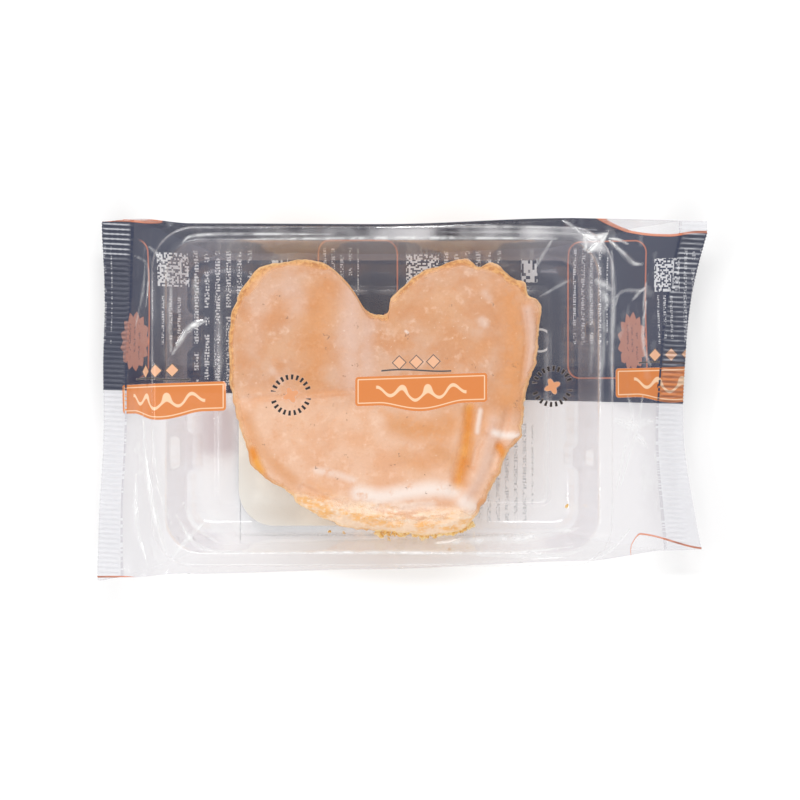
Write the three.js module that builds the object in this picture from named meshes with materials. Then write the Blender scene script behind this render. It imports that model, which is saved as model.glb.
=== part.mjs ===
// A palmier pastry in a shallow clear tray, sealed in a clear bag. The shut pack is one solid: its outer form,
// with the film drawn over the tray's rim and over the heart-shaped pastry that stands a little above it.
// Millimetres, Z up. X runs along the bag from one crimped end to the other, the shown side faces up, and the
// origin is the middle of the pack's footprint on the table.
import * as THREE from 'three';

// The tray under the film.
const TRAY_LENGTH = 184.8;
const TRAY_WIDTH = 136;
const TRAY_CENTRE_X = -7.8;
const TRAY_CENTRE_Y = 1.6;
const RIM_HEIGHT = 27;
const RIM_CORNER_RADIUS = 17;
const BASE_INSET = 9.5;
const BASE_CORNER_RADIUS = 14;

// The film over the tray.
const FILM_GAP = 0.4;
const SIDE_BULGE = 1.4;
const EDGE_ROUND = 1.2;
const EDGE_INSET = 2;
const PLEAT_DEPTH = 1.5;
const PLEATS = 7;

// The film over the pastry: rings of its outline, as a share of its size, and the film's height on each.
const PASTRY_CENTRE = [-6, 0];
const PASTRY_RINGS = [
  [1.07, 27.3],
  [0.985, 28.8],
  [0.62, 29.1],
  [0.28, 29.2],
];
const PASTRY_STEPS = 92;
const PASTRY_OUTLINE = [
  [-7, 33],
  [4, 48.4],
  [24.6, 55.8],
  [39, 52.4],
  [50.6, 43.6],
  [55, 30.4],
  [52.2, 10.6],
  [40.6, -24.2],
  [33.6, -37],
  [23.8, -51.4],
  [7.8, -55.2],
  [-12.2, -54.4],
  [-44.2, -40.2],
  [-58.2, -29.4],
  [-66, -12],
  [-69.6, 12],
  [-68.2, 32],
  [-61, 48],
  [-43, 56.4],
  [-24, 50.4],
];

// The crimped ends: the bag's outer and inner edges there at the near side, the middle and the far side.
const LEFT_CRIMP = { outer: [-125, -122.2, -122.6], inner: [-114.6, -112.6, -109.6], height: 13 };
const RIGHT_CRIMP = { outer: [125, 115.6, 125], inner: [109, 104.8, 113.8], height: 12 };
const CRIMP_THICKNESS = 0.9;
const RIB_PITCH = 2;
const RIB_DEPTH = 0.7;
const CRIMP_WAVE = 1.6;
const CRIMP_WAVE_LENGTH = 58;

// How far the film reaches to the near side (-Y) and the far side (+Y): at mid-tray, at the tray's end, at the
// crimp's inner edge and at its outer edge.
const LEFT_NEAR = [-67.6, -69.6, -72.6, -74];
const LEFT_FAR = [70.6, 70.9, 74, 73];
const RIGHT_NEAR = [-67.6, -64.4, -61.6, -61.2];
const RIGHT_FAR = [70.6, 73, 73.4, 73.2];

// The mesh: points across the bag, down a side, and rings along each zone of it, the last a little short of the
// crimp. Going round a ring, the bag's side counts as a very small share of the way.
const ACROSS_STEPS = 34;
const SIDE_STEPS = 5;
const TRAY_RINGS = 5;
const SLOPE_RINGS = 7;
const CRIMP_GAP = 0.3;
const SIDE_SHARE = 0.001;
const TURN = 2 * Math.PI;

const ENDS = [
  { sign: -1, crimp: LEFT_CRIMP, near: LEFT_NEAR, far: LEFT_FAR },
  { sign: 1, crimp: RIGHT_CRIMP, near: RIGHT_NEAR, far: RIGHT_FAR },
];

const lerp = THREE.MathUtils.lerp;
const clamp = THREE.MathUtils.clamp;
const smooth = (t) => THREE.MathUtils.smoothstep(t, 0, 1);

// A smooth curve through three values, at the near side, the middle and the far side of the bag.
function across([near, middle, far], y) {
  const u = clamp((2 * y) / TRAY_WIDTH, -1, 1);
  return middle + ((far - near) * u) / 2 + ((far + near) / 2 - middle) * u * u;
}

// A value along the bag: reach is 0 at mid-tray, 1 at the tray's end, 2 and 3 at the crimp's two edges.
function along(values, reach) {
  const i = Math.min(Math.floor(reach), 2);
  return lerp(values[i], values[i + 1], smooth(reach - i));
}

// The end of a rounded rectangle at a given y, as a distance along X from the tray's middle.
function endOfRectangle(inset, radius, y) {
  const halfLength = TRAY_LENGTH / 2 - inset;
  const halfWidth = TRAY_WIDTH / 2 - inset;
  const past = clamp(Math.abs(y - TRAY_CENTRE_Y) - (halfWidth - radius), 0, radius);
  return halfLength - radius + Math.sqrt(radius * radius - past * past);
}

// Where a ring crosses a line of constant y.
function ringX(end, reach, y, inset, radius) {
  const trayEnd = TRAY_CENTRE_X + end.sign * endOfRectangle(inset, radius, y);
  if (reach <= 1) return lerp(TRAY_CENTRE_X, trayEnd, reach);
  const crimpInner = across(end.crimp.inner, y);
  if (reach <= 2) return lerp(trayEnd, crimpInner, reach - 1);
  return lerp(crimpInner, across(end.crimp.outer, y), reach - 2);
}

// The middle plane of a crimp, with the slow wave that its film takes.
function crimpHeight(end, y) {
  return end.crimp.height + CRIMP_WAVE * Math.sin((TURN * y) / CRIMP_WAVE_LENGTH);
}

// Folds that fan out from the tray's rim to the crimp, deepest half-way.
function pleat(y, slope) {
  const fan = Math.cos(Math.PI * PLEATS * (y / TRAY_WIDTH) + 1);
  return PLEAT_DEPTH * fan * 4 * slope * (1 - slope);
}

// The film's height on the shown side, from the tray's rim outwards.
function topHeight(end, reach, y) {
  const slope = clamp(reach - 1, 0, 1);
  const rim = RIM_HEIGHT + FILM_GAP - EDGE_ROUND * (1 - slope);
  return lerp(rim, crimpHeight(end, y) + CRIMP_THICKNESS / 2, slope) + pleat(y, slope);
}

// The film's height underneath.
function baseHeight(end, reach, y) {
  const slope = clamp(reach - 1, 0, 1);
  return lerp(0, crimpHeight(end, y) - CRIMP_THICKNESS / 2, slope) - pleat(y, slope) * slope * 0.5;
}

// The points between two edges of the bag's side, which bulges a little.
function sideStrip(from, to, outward) {
  const drop = Math.abs(from.z - to.z) / RIM_HEIGHT;
  const points = [];
  for (let i = 1; i < SIDE_STEPS; i += 1) {
    const t = i / SIDE_STEPS;
    const point = from.clone().lerp(to, t);
    point.y += outward * SIDE_BULGE * drop * Math.sin(Math.PI * t);
    points.push(point);
  }
  return points;
}

// One ring round the bag: over the top from the near side to the far side, down the far side, back under the
// base, and up the near side.
function bagRing(end, reach) {
  const near = along(end.near, reach);
  const far = along(end.far, reach);
  const inset = BASE_INSET * (1 - clamp(reach - 1, 0, 1));
  const top = [];
  const base = [];
  for (let i = 0; i <= ACROSS_STEPS; i += 1) {
    const share = acrossShare(i);
    const y = lerp(near, far, share);
    top.push(new THREE.Vector3(ringX(end, reach, y, 0, RIM_CORNER_RADIUS), y, topHeight(end, reach, y)));
    const baseY = lerp(near + inset, far - inset, share);
    const baseX = ringX(end, reach, baseY, BASE_INSET, BASE_CORNER_RADIUS);
    base.push(new THREE.Vector3(baseX, baseY, baseHeight(end, reach, baseY)));
  }
  const farSide = sideStrip(top.at(-1), base.at(-1), 1);
  const nearSide = sideStrip(base[0], top[0], -1);
  return [...top, ...farSide, ...base.toReversed(), ...nearSide];
}

// The share of the bag's width that a point lies at, with the points closest together near its sides.
function acrossShare(i) {
  return (Math.sin(Math.PI * (i / ACROSS_STEPS - 0.5)) + 1) / 2;
}

// A ring round a crimp, whose two faces carry the ribs together.
function crimpRing(end, reach) {
  const near = along(end.near, reach);
  const far = along(end.far, reach);
  const steps = 2 * Math.round((far - near) / RIB_PITCH);
  const top = [];
  const base = [];
  for (let i = 0; i <= steps; i += 1) {
    const y = lerp(near, far, i / steps);
    const x = ringX(end, reach, y, 0, RIM_CORNER_RADIUS);
    const rib = i % 2 === 0 ? 0 : RIB_DEPTH;
    const height = crimpHeight(end, y) + rib - RIB_DEPTH / 2;
    top.push(new THREE.Vector3(x, y, height + CRIMP_THICKNESS / 2));
    base.push(new THREE.Vector3(x, y, height - CRIMP_THICKNESS / 2));
  }
  return [...top, ...base.toReversed()];
}

// How far round the bag each point of a ring lies: 0 to 1 over the top, 1 to 2 back under the base. The last
// share stands for the first point again, so that the ring closes.
function bagShares() {
  const shares = [];
  for (let i = 0; i <= ACROSS_STEPS; i += 1) shares.push(acrossShare(i));
  for (let i = 1; i < SIDE_STEPS; i += 1) shares.push(1 + (SIDE_SHARE * i) / SIDE_STEPS);
  for (let i = 0; i <= ACROSS_STEPS; i += 1) shares.push(1 + lerp(SIDE_SHARE, 1, acrossShare(i)));
  for (let i = 1; i <= SIDE_STEPS; i += 1) shares.push(2 + (SIDE_SHARE * i) / SIDE_STEPS);
  return shares;
}

function crimpShares(ring) {
  const steps = ring.length / 2 - 1;
  const shares = [];
  for (let i = 0; i <= steps; i += 1) shares.push(i / steps);
  for (let i = 0; i <= steps; i += 1) shares.push(1 + lerp(SIDE_SHARE, 1, i / steps));
  return [...shares, 2 + SIDE_SHARE];
}

// Triangles between two lists of points that run side by side, by the share of the way that each point is at.
function stitch(listA, sharesA, listB, sharesB) {
  const triangles = [];
  let a = 0;
  let b = 0;
  while (a < listA.length - 1 || b < listB.length - 1) {
    const nextA = a < listA.length - 1 ? sharesA[a + 1] : Infinity;
    const nextB = b < listB.length - 1 ? sharesB[b + 1] : Infinity;
    if (nextA <= nextB) {
      triangles.push([listA[a], listA[a + 1], listB[b]]);
      a += 1;
    } else {
      triangles.push([listA[a], listB[b + 1], listB[b]]);
      b += 1;
    }
  }
  return triangles;
}

// A ring as a list that ends on the point it starts from.
function closed(ring) {
  return [...ring, ring[0]];
}

// Two closed rings round the pastry, joined by the direction in which their points lie from its centre.
function joinRound(ringA, ringB) {
  const angle = (point) => {
    const turn = Math.atan2(point.y - PASTRY_CENTRE[1], point.x - PASTRY_CENTRE[0]);
    return turn < 0 ? turn + TURN : turn;
  };
  const [a, b] = [ringA, ringB].map((ring) => ring.toSorted((p, q) => angle(p) - angle(q)));
  const [sharesA, sharesB] = [a, b].map((ring) => [...ring.map(angle), TURN + angle(ring[0])]);
  return stitch(closed(a), sharesA, closed(b), sharesB);
}

// The film inside the tray's rim: rings from the rim inwards, over the pastry's edge and up to its middle.
function topFace(rim) {
  const inner = rim.map((point) => {
    const x = lerp(point.x, TRAY_CENTRE_X, (2 * EDGE_INSET) / TRAY_LENGTH);
    const y = lerp(point.y, TRAY_CENTRE_Y, (2 * EDGE_INSET) / TRAY_WIDTH);
    return new THREE.Vector3(x, y, RIM_HEIGHT + FILM_GAP);
  });
  const [centreX, centreY] = PASTRY_CENTRE;
  const corners = PASTRY_OUTLINE.map(([x, y]) => new THREE.Vector3(x, y, 0));
  const outline = new THREE.CatmullRomCurve3(corners, true).getPoints(PASTRY_STEPS).slice(0, -1);
  const rings = PASTRY_RINGS.map(([share, height]) =>
    outline.map((p) => new THREE.Vector3(lerp(centreX, p.x, share), lerp(centreY, p.y, share), height)));
  const peak = new THREE.Vector3(centreX, centreY, PASTRY_RINGS.at(-1)[1]);
  const triangles = [joinRound(rim, inner), joinRound(inner, rings[0])];
  for (let i = 1; i < rings.length; i += 1) triangles.push(joinRound(rings[i - 1], rings[i]));
  rings.at(-1).forEach((point, i, ring) => triangles.push([[point, ring[(i + 1) % ring.length], peak]]));
  return triangles.flat();
}

// One end of the bag, but for the face inside the tray's rim: rings from mid-tray out to the tray's end, rings
// down to the crimp, the crimp's two faces, and its cut edge.
function bagEnd(end, trayRings) {
  const triangles = [];
  const shares = bagShares();
  const below = (ring) => [...ring.slice(ACROSS_STEPS), ring[0]];
  for (let i = 1; i < trayRings.length; i += 1) {
    const [a, b] = [below(trayRings[i - 1]), below(trayRings[i])];
    triangles.push(...stitch(a, shares, b, shares));
  }
  let previous = trayRings.at(-1);
  for (let i = 1; i <= SLOPE_RINGS; i += 1) {
    const ring = bagRing(end, 1 + (i - CRIMP_GAP) / SLOPE_RINGS);
    triangles.push(...stitch(closed(previous), shares, closed(ring), shares));
    previous = ring;
  }
  const inner = crimpRing(end, 2);
  const outer = crimpRing(end, 3);
  triangles.push(...stitch(closed(previous), shares, closed(inner), crimpShares(inner)));
  triangles.push(...stitch(closed(inner), crimpShares(inner), closed(outer), crimpShares(outer)));
  const half = outer.length / 2;
  const cutShares = crimpShares(outer);
  triangles.push(...stitch(outer.slice(0, half), cutShares, outer.slice(half).toReversed(), cutShares));
  return triangles.map(([p, q, r]) => (end.sign > 0 ? [p, r, q] : [p, q, r]));
}

// The whole bag: the two ends, and the face inside the rim that runs between them.
function bagGeometry() {
  const steps = Array.from({ length: TRAY_RINGS + 1 }, (_, i) => i / TRAY_RINGS);
  const [left, right] = ENDS.map((end) => steps.map((reach) => bagRing(end, reach)));
  const points = (rings, i) => rings.slice(1, -1).map((ring) => ring[i]);
  const rim = [
    ...left.at(-1).slice(0, ACROSS_STEPS + 1),
    ...points(left, ACROSS_STEPS),
    left[0][ACROSS_STEPS],
    ...points(right, ACROSS_STEPS),
    ...right.at(-1).slice(0, ACROSS_STEPS + 1),
    ...points(right, 0),
    left[0][0],
    ...points(left, 0),
  ];
  const triangles = [...bagEnd(ENDS[0], left), ...bagEnd(ENDS[1], right), ...topFace(rim).map(facingUp)];
  const positions = triangles.flatMap((triangle) => triangle.flatMap((point) => point.toArray()));
  const geometry = new THREE.BufferGeometry();
  geometry.setAttribute('position', new THREE.Float32BufferAttribute(positions, 3));
  geometry.computeVertexNormals();
  return geometry;
}

// A triangle of the shown side, turned so that it faces up.
function facingUp([p, q, r]) {
  const area = (q.x - p.x) * (r.y - p.y) - (q.y - p.y) * (r.x - p.x);
  return area > 0 ? [p, q, r] : [p, r, q];
}

const film = new THREE.MeshStandardMaterial({ color: 0xd9d2cf, roughness: 0.2, metalness: 0 });
const bag = new THREE.Mesh(bagGeometry(), film);
bag.name = 'sealed_bag';

const group = new THREE.Group();
group.add(bag);

export default group;
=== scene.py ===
# A glazed palmier in a shallow clear tray, sealed in a printed clear film bag. Lengths are written in
# millimetres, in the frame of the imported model, and become metres where a mesh is placed.
import math

import bpy
import numpy as np
from mathutils import Matrix, Vector, noise


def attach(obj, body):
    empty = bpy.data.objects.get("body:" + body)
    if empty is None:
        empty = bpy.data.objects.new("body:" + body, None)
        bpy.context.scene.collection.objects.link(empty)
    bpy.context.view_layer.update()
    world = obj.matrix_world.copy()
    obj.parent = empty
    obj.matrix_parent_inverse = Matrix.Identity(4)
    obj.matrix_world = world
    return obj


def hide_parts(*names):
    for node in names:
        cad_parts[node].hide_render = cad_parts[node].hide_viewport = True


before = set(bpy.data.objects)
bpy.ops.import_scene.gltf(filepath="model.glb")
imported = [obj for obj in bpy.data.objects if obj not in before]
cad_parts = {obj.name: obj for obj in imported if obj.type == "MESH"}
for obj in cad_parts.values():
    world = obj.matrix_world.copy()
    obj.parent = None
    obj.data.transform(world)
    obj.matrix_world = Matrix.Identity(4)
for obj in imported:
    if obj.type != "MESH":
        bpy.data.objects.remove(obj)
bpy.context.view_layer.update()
MM = 0.001

# The tray, and the film that is drawn over it.
TRAY_LENGTH, TRAY_WIDTH = 184.8, 136
TRAY_CENTRE = (-7.8, 1.6)
RIM_HEIGHT = 27
RIM_CORNER = 17
BASE_INSET = 9.5
BASE_CORNER = 14
FILM_GAP = 0.4
EDGE_ROUND = 1.2
SIDE_BULGE = 1.4
FILM_BASE = 0.25

# The crimps: outer and inner edges at the near side, the middle and the far side, and the height.
CRIMPS = {
    -1: {"outer": (-125, -122.2, -122.6), "inner": (-114.6, -112.6, -109.6), "height": 13},
    1: {"outer": (125, 115.6, 125), "inner": (109, 104.8, 113.8), "height": 12},
}
NEAR = {-1: (-67.6, -69.6, -72.6, -74), 1: (-67.6, -64.4, -61.6, -61.2)}
FAR = {-1: (70.6, 70.9, 74, 73), 1: (70.6, 73, 73.4, 73.2)}
CRIMP_THICKNESS = 0.3
RIB_PITCH = 2
RIB_DEPTH = 0.55
CRIMP_WAVE = 1.6
CRIMP_WAVE_LENGTH = 58
PLEAT_DEPTH = 1.5
PLEATS = 7

# The pastry's outline seen from above, round its own centre, and its height.
PASTRY_CENTRE = (-6, 0)
PASTRY_OUTLINE = [
    (-5.5, 34.8), (-4.4, 40.6), (2.5, 47.3), (7.8, 51.3), (13.1, 53.3), (21.1, 55.9), (26.5, 56.5),
    (29.3, 54.6), (31.5, 53.2), (35, 55.2), (38.5, 54.6), (41.1, 52), (45.1, 48.9), (49.4, 47),
    (50.7, 42.4), (54.6, 40.4), (56, 35.9), (55.1, 29.9), (54.5, 20.6), (53.8, 15.3), (51.8, 9.3),
    (49.4, 1.9), (48.5, -8.7), (47.8, -14.1), (45.1, -17.9), (42.9, -19.8), (40.5, -26.1), (37.1, -32.7),
    (33.1, -40.7), (29.1, -47), (24.8, -51.9), (13.1, -54.7), (2.5, -53.8), (-16.2, -52.1), (-28.2, -49),
    (-40.2, -42.1), (-46.9, -36.1), (-56.2, -30.1), (-60.9, -24.7), (-62.2, -19.4), (-65.5, -8.7),
    (-68.2, 3.3), (-69.5, 16.6), (-68.9, 29.9), (-67.5, 37.9), (-64.2, 44.6), (-58.9, 51.9),
    (-52.2, 54.6), (-41.5, 56.6), (-32.2, 55.3), (-24.2, 49.9), (-18.9, 43.3), (-14.9, 36.8),
    (-10.9, 34.1),
]
PASTRY_BASE = 3.4
PASTRY_TOP = 26.7

# Edges sharper than this stay sharp in the shading.
SHARP = math.radians(62)
SHARP_SHEET = math.radians(40)
SHARP_CRUMB = math.radians(35)


# Small maths.

def lerp(a, b, t):
    return a + (b - a) * t


def smooth(t):
    t = np.clip(t, 0, 1)
    return t * t * (3 - 2 * t)


def ramp(low, high, value):
    return smooth((value - low) / (high - low))


def waves(x, y, size, seed, octaves=3):
    """Smooth noise of about that size in millimetres, from -1 to 1."""
    offset = Vector((seed * 17.3, seed * 5.9, seed * 11.1))
    flat = zip(np.ravel(x).tolist(), np.ravel(y).tolist())
    found = [noise.fractal(Vector((a / size, b / size, 0)) + offset, 1, 2, octaves) for a, b in flat]
    return np.clip(np.array(found).reshape(np.shape(x)), -1, 1)


def open_curve(points, steps=5):
    """A smooth line through the points, as short straight pieces."""
    p = [np.array(point) for point in points]
    if len(p) < 3:
        return points
    p = [2 * p[0] - p[1], *p, 2 * p[-1] - p[-2]]
    found = []
    for a, b, c, d in zip(p, p[1:], p[2:], p[3:]):
        for t in np.arange(steps) / steps:
            bent = (2 * a - 5 * b + 4 * c - d) * t**2 + (3 * b - a - 3 * c + d) * t**3
            found.append(0.5 * (2 * b + (c - a) * t + bent))
    return [*found, p[-2]]


def along_line(x, y, points, width, taper=0):
    """How much each place lies on a line through the points: 1 on it, and 0 from the width outwards.

    With a taper the line thins towards its two ends."""
    best = np.zeros(np.shape(x))
    curve = open_curve(points)
    for i, ((ax, ay), (bx, by)) in enumerate(zip(curve, curve[1:])):
        dx, dy = bx - ax, by - ay
        t = np.clip(((x - ax) * dx + (y - ay) * dy) / (dx * dx + dy * dy), 0, 1)
        way = (i + t) / (len(curve) - 1)
        wide = width * lerp(1, np.sin(math.pi * np.clip(way, 0.02, 0.98)) ** 0.8, taper)
        best = np.maximum(best, 1 - np.hypot(x - ax - t * dx, y - ay - t * dy) / wide)
    return smooth(best)


def closed_curve(points, steps):
    """A smooth closed curve through the points."""
    p = np.array(points)
    count = len(p)
    at = np.linspace(0, count, steps, endpoint=False)
    i = at.astype(int)
    t = (at - i)[:, None]
    a, b, c, d = (p[(i + k) % count] for k in (-1, 0, 1, 2))
    bent = (2 * a - 5 * b + 4 * c - d) * t**2 + (3 * b - a - 3 * c + d) * t**3
    return 0.5 * (2 * b + (c - a) * t + bent)


OUTLINE_STEPS = 1400


def outline_by_turn():
    """The outline as turns round the pastry's centre, in order, and the reach at each."""
    curve = closed_curve(PASTRY_OUTLINE, OUTLINE_STEPS) - np.array(PASTRY_CENTRE)
    turn = np.arctan2(curve[:, 1], curve[:, 0])
    order = np.argsort(turn)
    return turn[order], np.hypot(curve[:, 0], curve[:, 1])[order]


OUTLINE_TURN, OUTLINE_REACH = outline_by_turn()
EVENED = (-0.08, -0.04, 0, 0.04, 0.08)


def pastry_reach(turn):
    return np.interp(turn, OUTLINE_TURN, OUTLINE_REACH, period=2 * math.pi)


def round_pastry(turn, reach):
    return PASTRY_CENTRE[0] + np.cos(turn) * reach, PASTRY_CENTRE[1] + np.sin(turn) * reach


def pastry_share(x, y):
    """How far out a place lies, as a share of the pastry's reach there: 1 on its evened outline."""
    dx, dy = x - PASTRY_CENTRE[0], y - PASTRY_CENTRE[1]
    turn = np.arctan2(dy, dx)
    reach = sum(pastry_reach(turn + step) for step in EVENED) / len(EVENED)
    return np.hypot(dx, dy) / reach


# Meshes.

def deselect():
    if bpy.context.object and bpy.context.object.mode != "OBJECT":
        bpy.ops.object.mode_set(mode="OBJECT")
    bpy.ops.object.select_all(action="DESELECT")


def only(piece):
    deselect()
    piece.select_set(True)
    bpy.context.view_layer.objects.active = piece


def coordinates(piece):
    flat = np.empty(len(piece.data.vertices) * 3)
    piece.data.vertices.foreach_get("co", flat)
    return flat.reshape(-1, 3)


def place(piece, x, y, z):
    flat = np.column_stack([np.ravel(x), np.ravel(y), np.ravel(z)]) * MM
    piece.data.vertices.foreach_set("co", flat.ravel())
    piece.data.update()


def sheet_of_points(name, columns, rows):
    """A grid whose points are then placed: the piece, and each point's share of the way across and up."""
    deselect()
    bpy.ops.mesh.primitive_grid_add(x_subdivisions=columns, y_subdivisions=rows, size=2)
    piece = bpy.context.object
    piece.name = name
    piece.data.name = name
    at = coordinates(piece)
    return piece, (at[:, 0] + 1) / 2, (at[:, 1] + 1) / 2


def tidy_mesh(piece, merge=0.004, outward=True):
    """Merges points that meet, if any, turns the faces outward and shades them smooth."""
    only(piece)
    bpy.ops.object.mode_set(mode="EDIT")
    bpy.ops.mesh.select_all(action="SELECT")
    if merge:
        bpy.ops.mesh.remove_doubles(threshold=merge * MM)
        bpy.ops.mesh.dissolve_degenerate(threshold=merge * MM * 0.2)
    if outward:
        bpy.ops.mesh.normals_make_consistent(inside=False)
    bpy.ops.object.mode_set(mode="OBJECT")
    bpy.ops.object.shade_smooth_by_angle(angle=SHARP)
    return piece


def apply_modifier(piece, kind, **settings):
    only(piece)
    modifier = piece.modifiers.new(kind.title(), kind)
    for key, value in settings.items():
        setattr(modifier, key, value)
    bpy.ops.object.modifier_apply(modifier=modifier.name)


def paint(piece, name, values):
    """Stores one number for each point of a piece, for its material to read."""
    layer = piece.data.attributes.new(name, "FLOAT", "POINT")
    layer.data.foreach_set("value", np.ravel(values).astype(np.float32))


# Shader maths.

def tone(red, green, blue):
    """A colour as it should look on a screen, from 0 to 255, turned into the light it sends back."""
    def light(part):
        part = part / 255
        return part / 12.92 if part <= 0.04045 else ((part + 0.055) / 1.055) ** 2.4

    return light(red), light(green), light(blue)


def feed(tree, socket, value):
    """Links a value or a socket to a socket, or sets a number or a colour on it."""
    if isinstance(value, Value):
        value = value.socket
    if isinstance(value, bpy.types.NodeSocket):
        tree.links.new(value, socket)
    elif socket.type == "RGBA" and isinstance(value, tuple):
        socket.default_value = (*value, 1)
    else:
        socket.default_value = value


def operation(kind, reflected=False):
    """A method of Value that adds one Math node, with its inputs the other way round if reflected."""
    def method(self, *others):
        values = (*others, self) if reflected else (self, *others)
        return self._math(kind, *values)

    return method


class Value:
    """A number in a material. The usual operators on it add Math nodes."""

    def __init__(self, tree, socket):
        self.tree = tree
        self.socket = socket

    def _math(self, operation, *values):
        node = self.tree.nodes.new("ShaderNodeMath")
        node.operation = operation
        for socket, value in zip(node.inputs, values):
            feed(self.tree, socket, value)
        return Value(self.tree, node.outputs[0])

    __add__ = __radd__ = operation("ADD")
    __sub__ = operation("SUBTRACT")
    __rsub__ = operation("SUBTRACT", reflected=True)
    __mul__ = __rmul__ = operation("MULTIPLY")
    __truediv__ = operation("DIVIDE")
    power = operation("POWER")
    abs = operation("ABSOLUTE")
    sin = operation("SINE")
    floor = operation("FLOOR")
    least = operation("MINIMUM")
    most = operation("MAXIMUM")
    turn = operation("ARCTAN2", reflected=True)

    def wrap(self, low, high):
        return self._math("WRAP", self, high, low)

    def length(self, other):
        return (self * self + other * other).power(0.5)

    def below(self, limit, soft=0.15):
        """1 where the number is below the limit, 0 above it, with a soft edge."""
        return self.ramp(limit + soft, limit - soft)

    def above(self, limit, soft=0.15):
        return self.ramp(limit - soft, limit + soft)

    def ramp(self, low, high):
        node = self.tree.nodes.new("ShaderNodeMapRange")
        node.interpolation_type = "SMOOTHSTEP"
        self.tree.links.new(self.socket, node.inputs["Value"])
        node.inputs["From Min"].default_value = low
        node.inputs["From Max"].default_value = high
        return Value(self.tree, node.outputs[0])


class Material:
    """A material's nodes. x and y are millimetres on the object's own coordinates."""

    def __init__(self, name):
        self.material = bpy.data.materials.new(name)
        self.material.use_nodes = True
        self.tree = self.material.node_tree
        self.tree.nodes.clear()
        where = self.tree.nodes.new("ShaderNodeTexCoord").outputs["Object"]
        scale = {"Vector": where, "Scale": 1 / MM}
        self.place = self.node("ShaderNodeVectorMath", {"operation": "SCALE"}, scale).outputs[0]
        parts = self.node("ShaderNodeSeparateXYZ", {}, {"Vector": self.place})
        self.x = Value(self.tree, parts.outputs["X"])
        self.y = Value(self.tree, parts.outputs["Y"])

    def node(self, kind, settings, inputs):
        node = self.tree.nodes.new(kind)
        for key, value in settings.items():
            setattr(node, key, value)
        for key, value in inputs.items():
            feed(self.tree, node.inputs[key], value)
        return node

    def painted(self, name):
        node = self.node("ShaderNodeAttribute", {"attribute_name": name}, {})
        return Value(self.tree, node.outputs["Fac"])

    def noise(self, size, detail, roughness=0.5, stretch=(1, 1, 1)):
        """Noise of about that size in millimetres, from 0 to 1, about 0.5."""
        spread = tuple(1 / (size * s) for s in stretch)
        mapped = self.node("ShaderNodeMapping", {}, {"Vector": self.place, "Scale": spread})
        found = self.node("ShaderNodeTexNoise", {}, {
            "Vector": mapped.outputs[0], "Scale": 1, "Detail": detail, "Roughness": roughness})
        return Value(self.tree, found.outputs["Fac"])

    def scatter(self, x, y):
        """A different number from 0 to 1 for each whole x and y."""
        at = self.node("ShaderNodeCombineXYZ", {}, {"X": x, "Y": y, "Z": 0}).outputs[0]
        found = self.node("ShaderNodeTexWhiteNoise", {"noise_dimensions": "2D"}, {"Vector": at})
        return Value(self.tree, found.outputs["Value"])

    def edge_light(self, blend):
        """0 where the surface is seen face on, rising to 1 where it is seen edge on."""
        node = self.node("ShaderNodeLayerWeight", {}, {"Blend": blend})
        return Value(self.tree, node.outputs["Fresnel"])

    def mix(self, factor, a, b):
        node = self.node("ShaderNodeMix", {"data_type": "RGBA"}, {})
        for key, value in (("Factor_Float", factor), ("A_Color", a), ("B_Color", b)):
            feed(self.tree, next(s for s in node.inputs if s.identifier == key), value)
        return next(s for s in node.outputs if s.identifier == "Result_Color")

    def over(self, colour, *layers):
        """A colour with others laid over it in turn, each by its factor."""
        for factor, top in layers:
            colour = self.mix(factor, colour, top)
        return colour

    def bump(self, height, distance, strength):
        inputs = {"Height": height, "Distance": distance, "Strength": strength}
        return self.node("ShaderNodeBump", {}, inputs).outputs[0]

    def principled(self, **inputs):
        named = {key.replace("_", " "): value for key, value in inputs.items()}
        return self.node("ShaderNodeBsdfPrincipled", {}, named).outputs[0]

    def see_through(self, factor, shader):
        """The shader by its factor, and a clear view through the surface for the rest."""
        clear = self.node("ShaderNodeBsdfTransparent", {}, {}).outputs[0]
        node = self.node("ShaderNodeMixShader", {}, {0: factor, 1: clear, 2: shader})
        return node.outputs[0]

    def finish(self, shader):
        self.node("ShaderNodeOutputMaterial", {}, {"Surface": shader})
        return self.material


# Where the film lies. Reach is 0 at mid-tray, 1 at the tray's end, 2 and 3 at the crimp's two edges.

OVER_PASTRY, PASTRY_SWELL = 28.8, 0.4
BESIDE_PASTRY = 27.3
RIM_ROUND = 2


def across(values, y):
    """A crimp edge's X at each Y, through its three places."""
    near, middle, far = values
    u = np.clip(2 * y / TRAY_WIDTH, -1, 1)
    return middle + (far - near) * u / 2 + ((far + near) / 2 - middle) * u * u


def along(values, reach):
    """The value at each reach, eased between the four that are given."""
    i = np.minimum(np.floor(reach).astype(int), 2)
    v = np.array(values)
    return lerp(v[i], v[i + 1], smooth(reach - i))


def end_of_rectangle(inset, radius, y):
    """How far the tray's rounded outline reaches along X at each Y."""
    half_length = TRAY_LENGTH / 2 - inset
    half_width = TRAY_WIDTH / 2 - inset
    past = np.clip(np.abs(y - TRAY_CENTRE[1]) - (half_width - radius), 0, radius)
    return half_length - radius + np.sqrt(radius * radius - past * past)


def ring_x(sign, reach, y, inset, radius):
    """The film's X at each reach and Y, towards one end of the bag."""
    tray_end = TRAY_CENTRE[0] + sign * end_of_rectangle(inset, radius, y)
    inner = across(CRIMPS[sign]["inner"], y)
    outer = across(CRIMPS[sign]["outer"], y)
    in_tray = lerp(TRAY_CENTRE[0], tray_end, reach)
    on_slope = lerp(tray_end, inner, reach - 1)
    on_crimp = lerp(inner, outer, reach - 2)
    return np.where(reach <= 1, in_tray, np.where(reach <= 2, on_slope, on_crimp))


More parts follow.
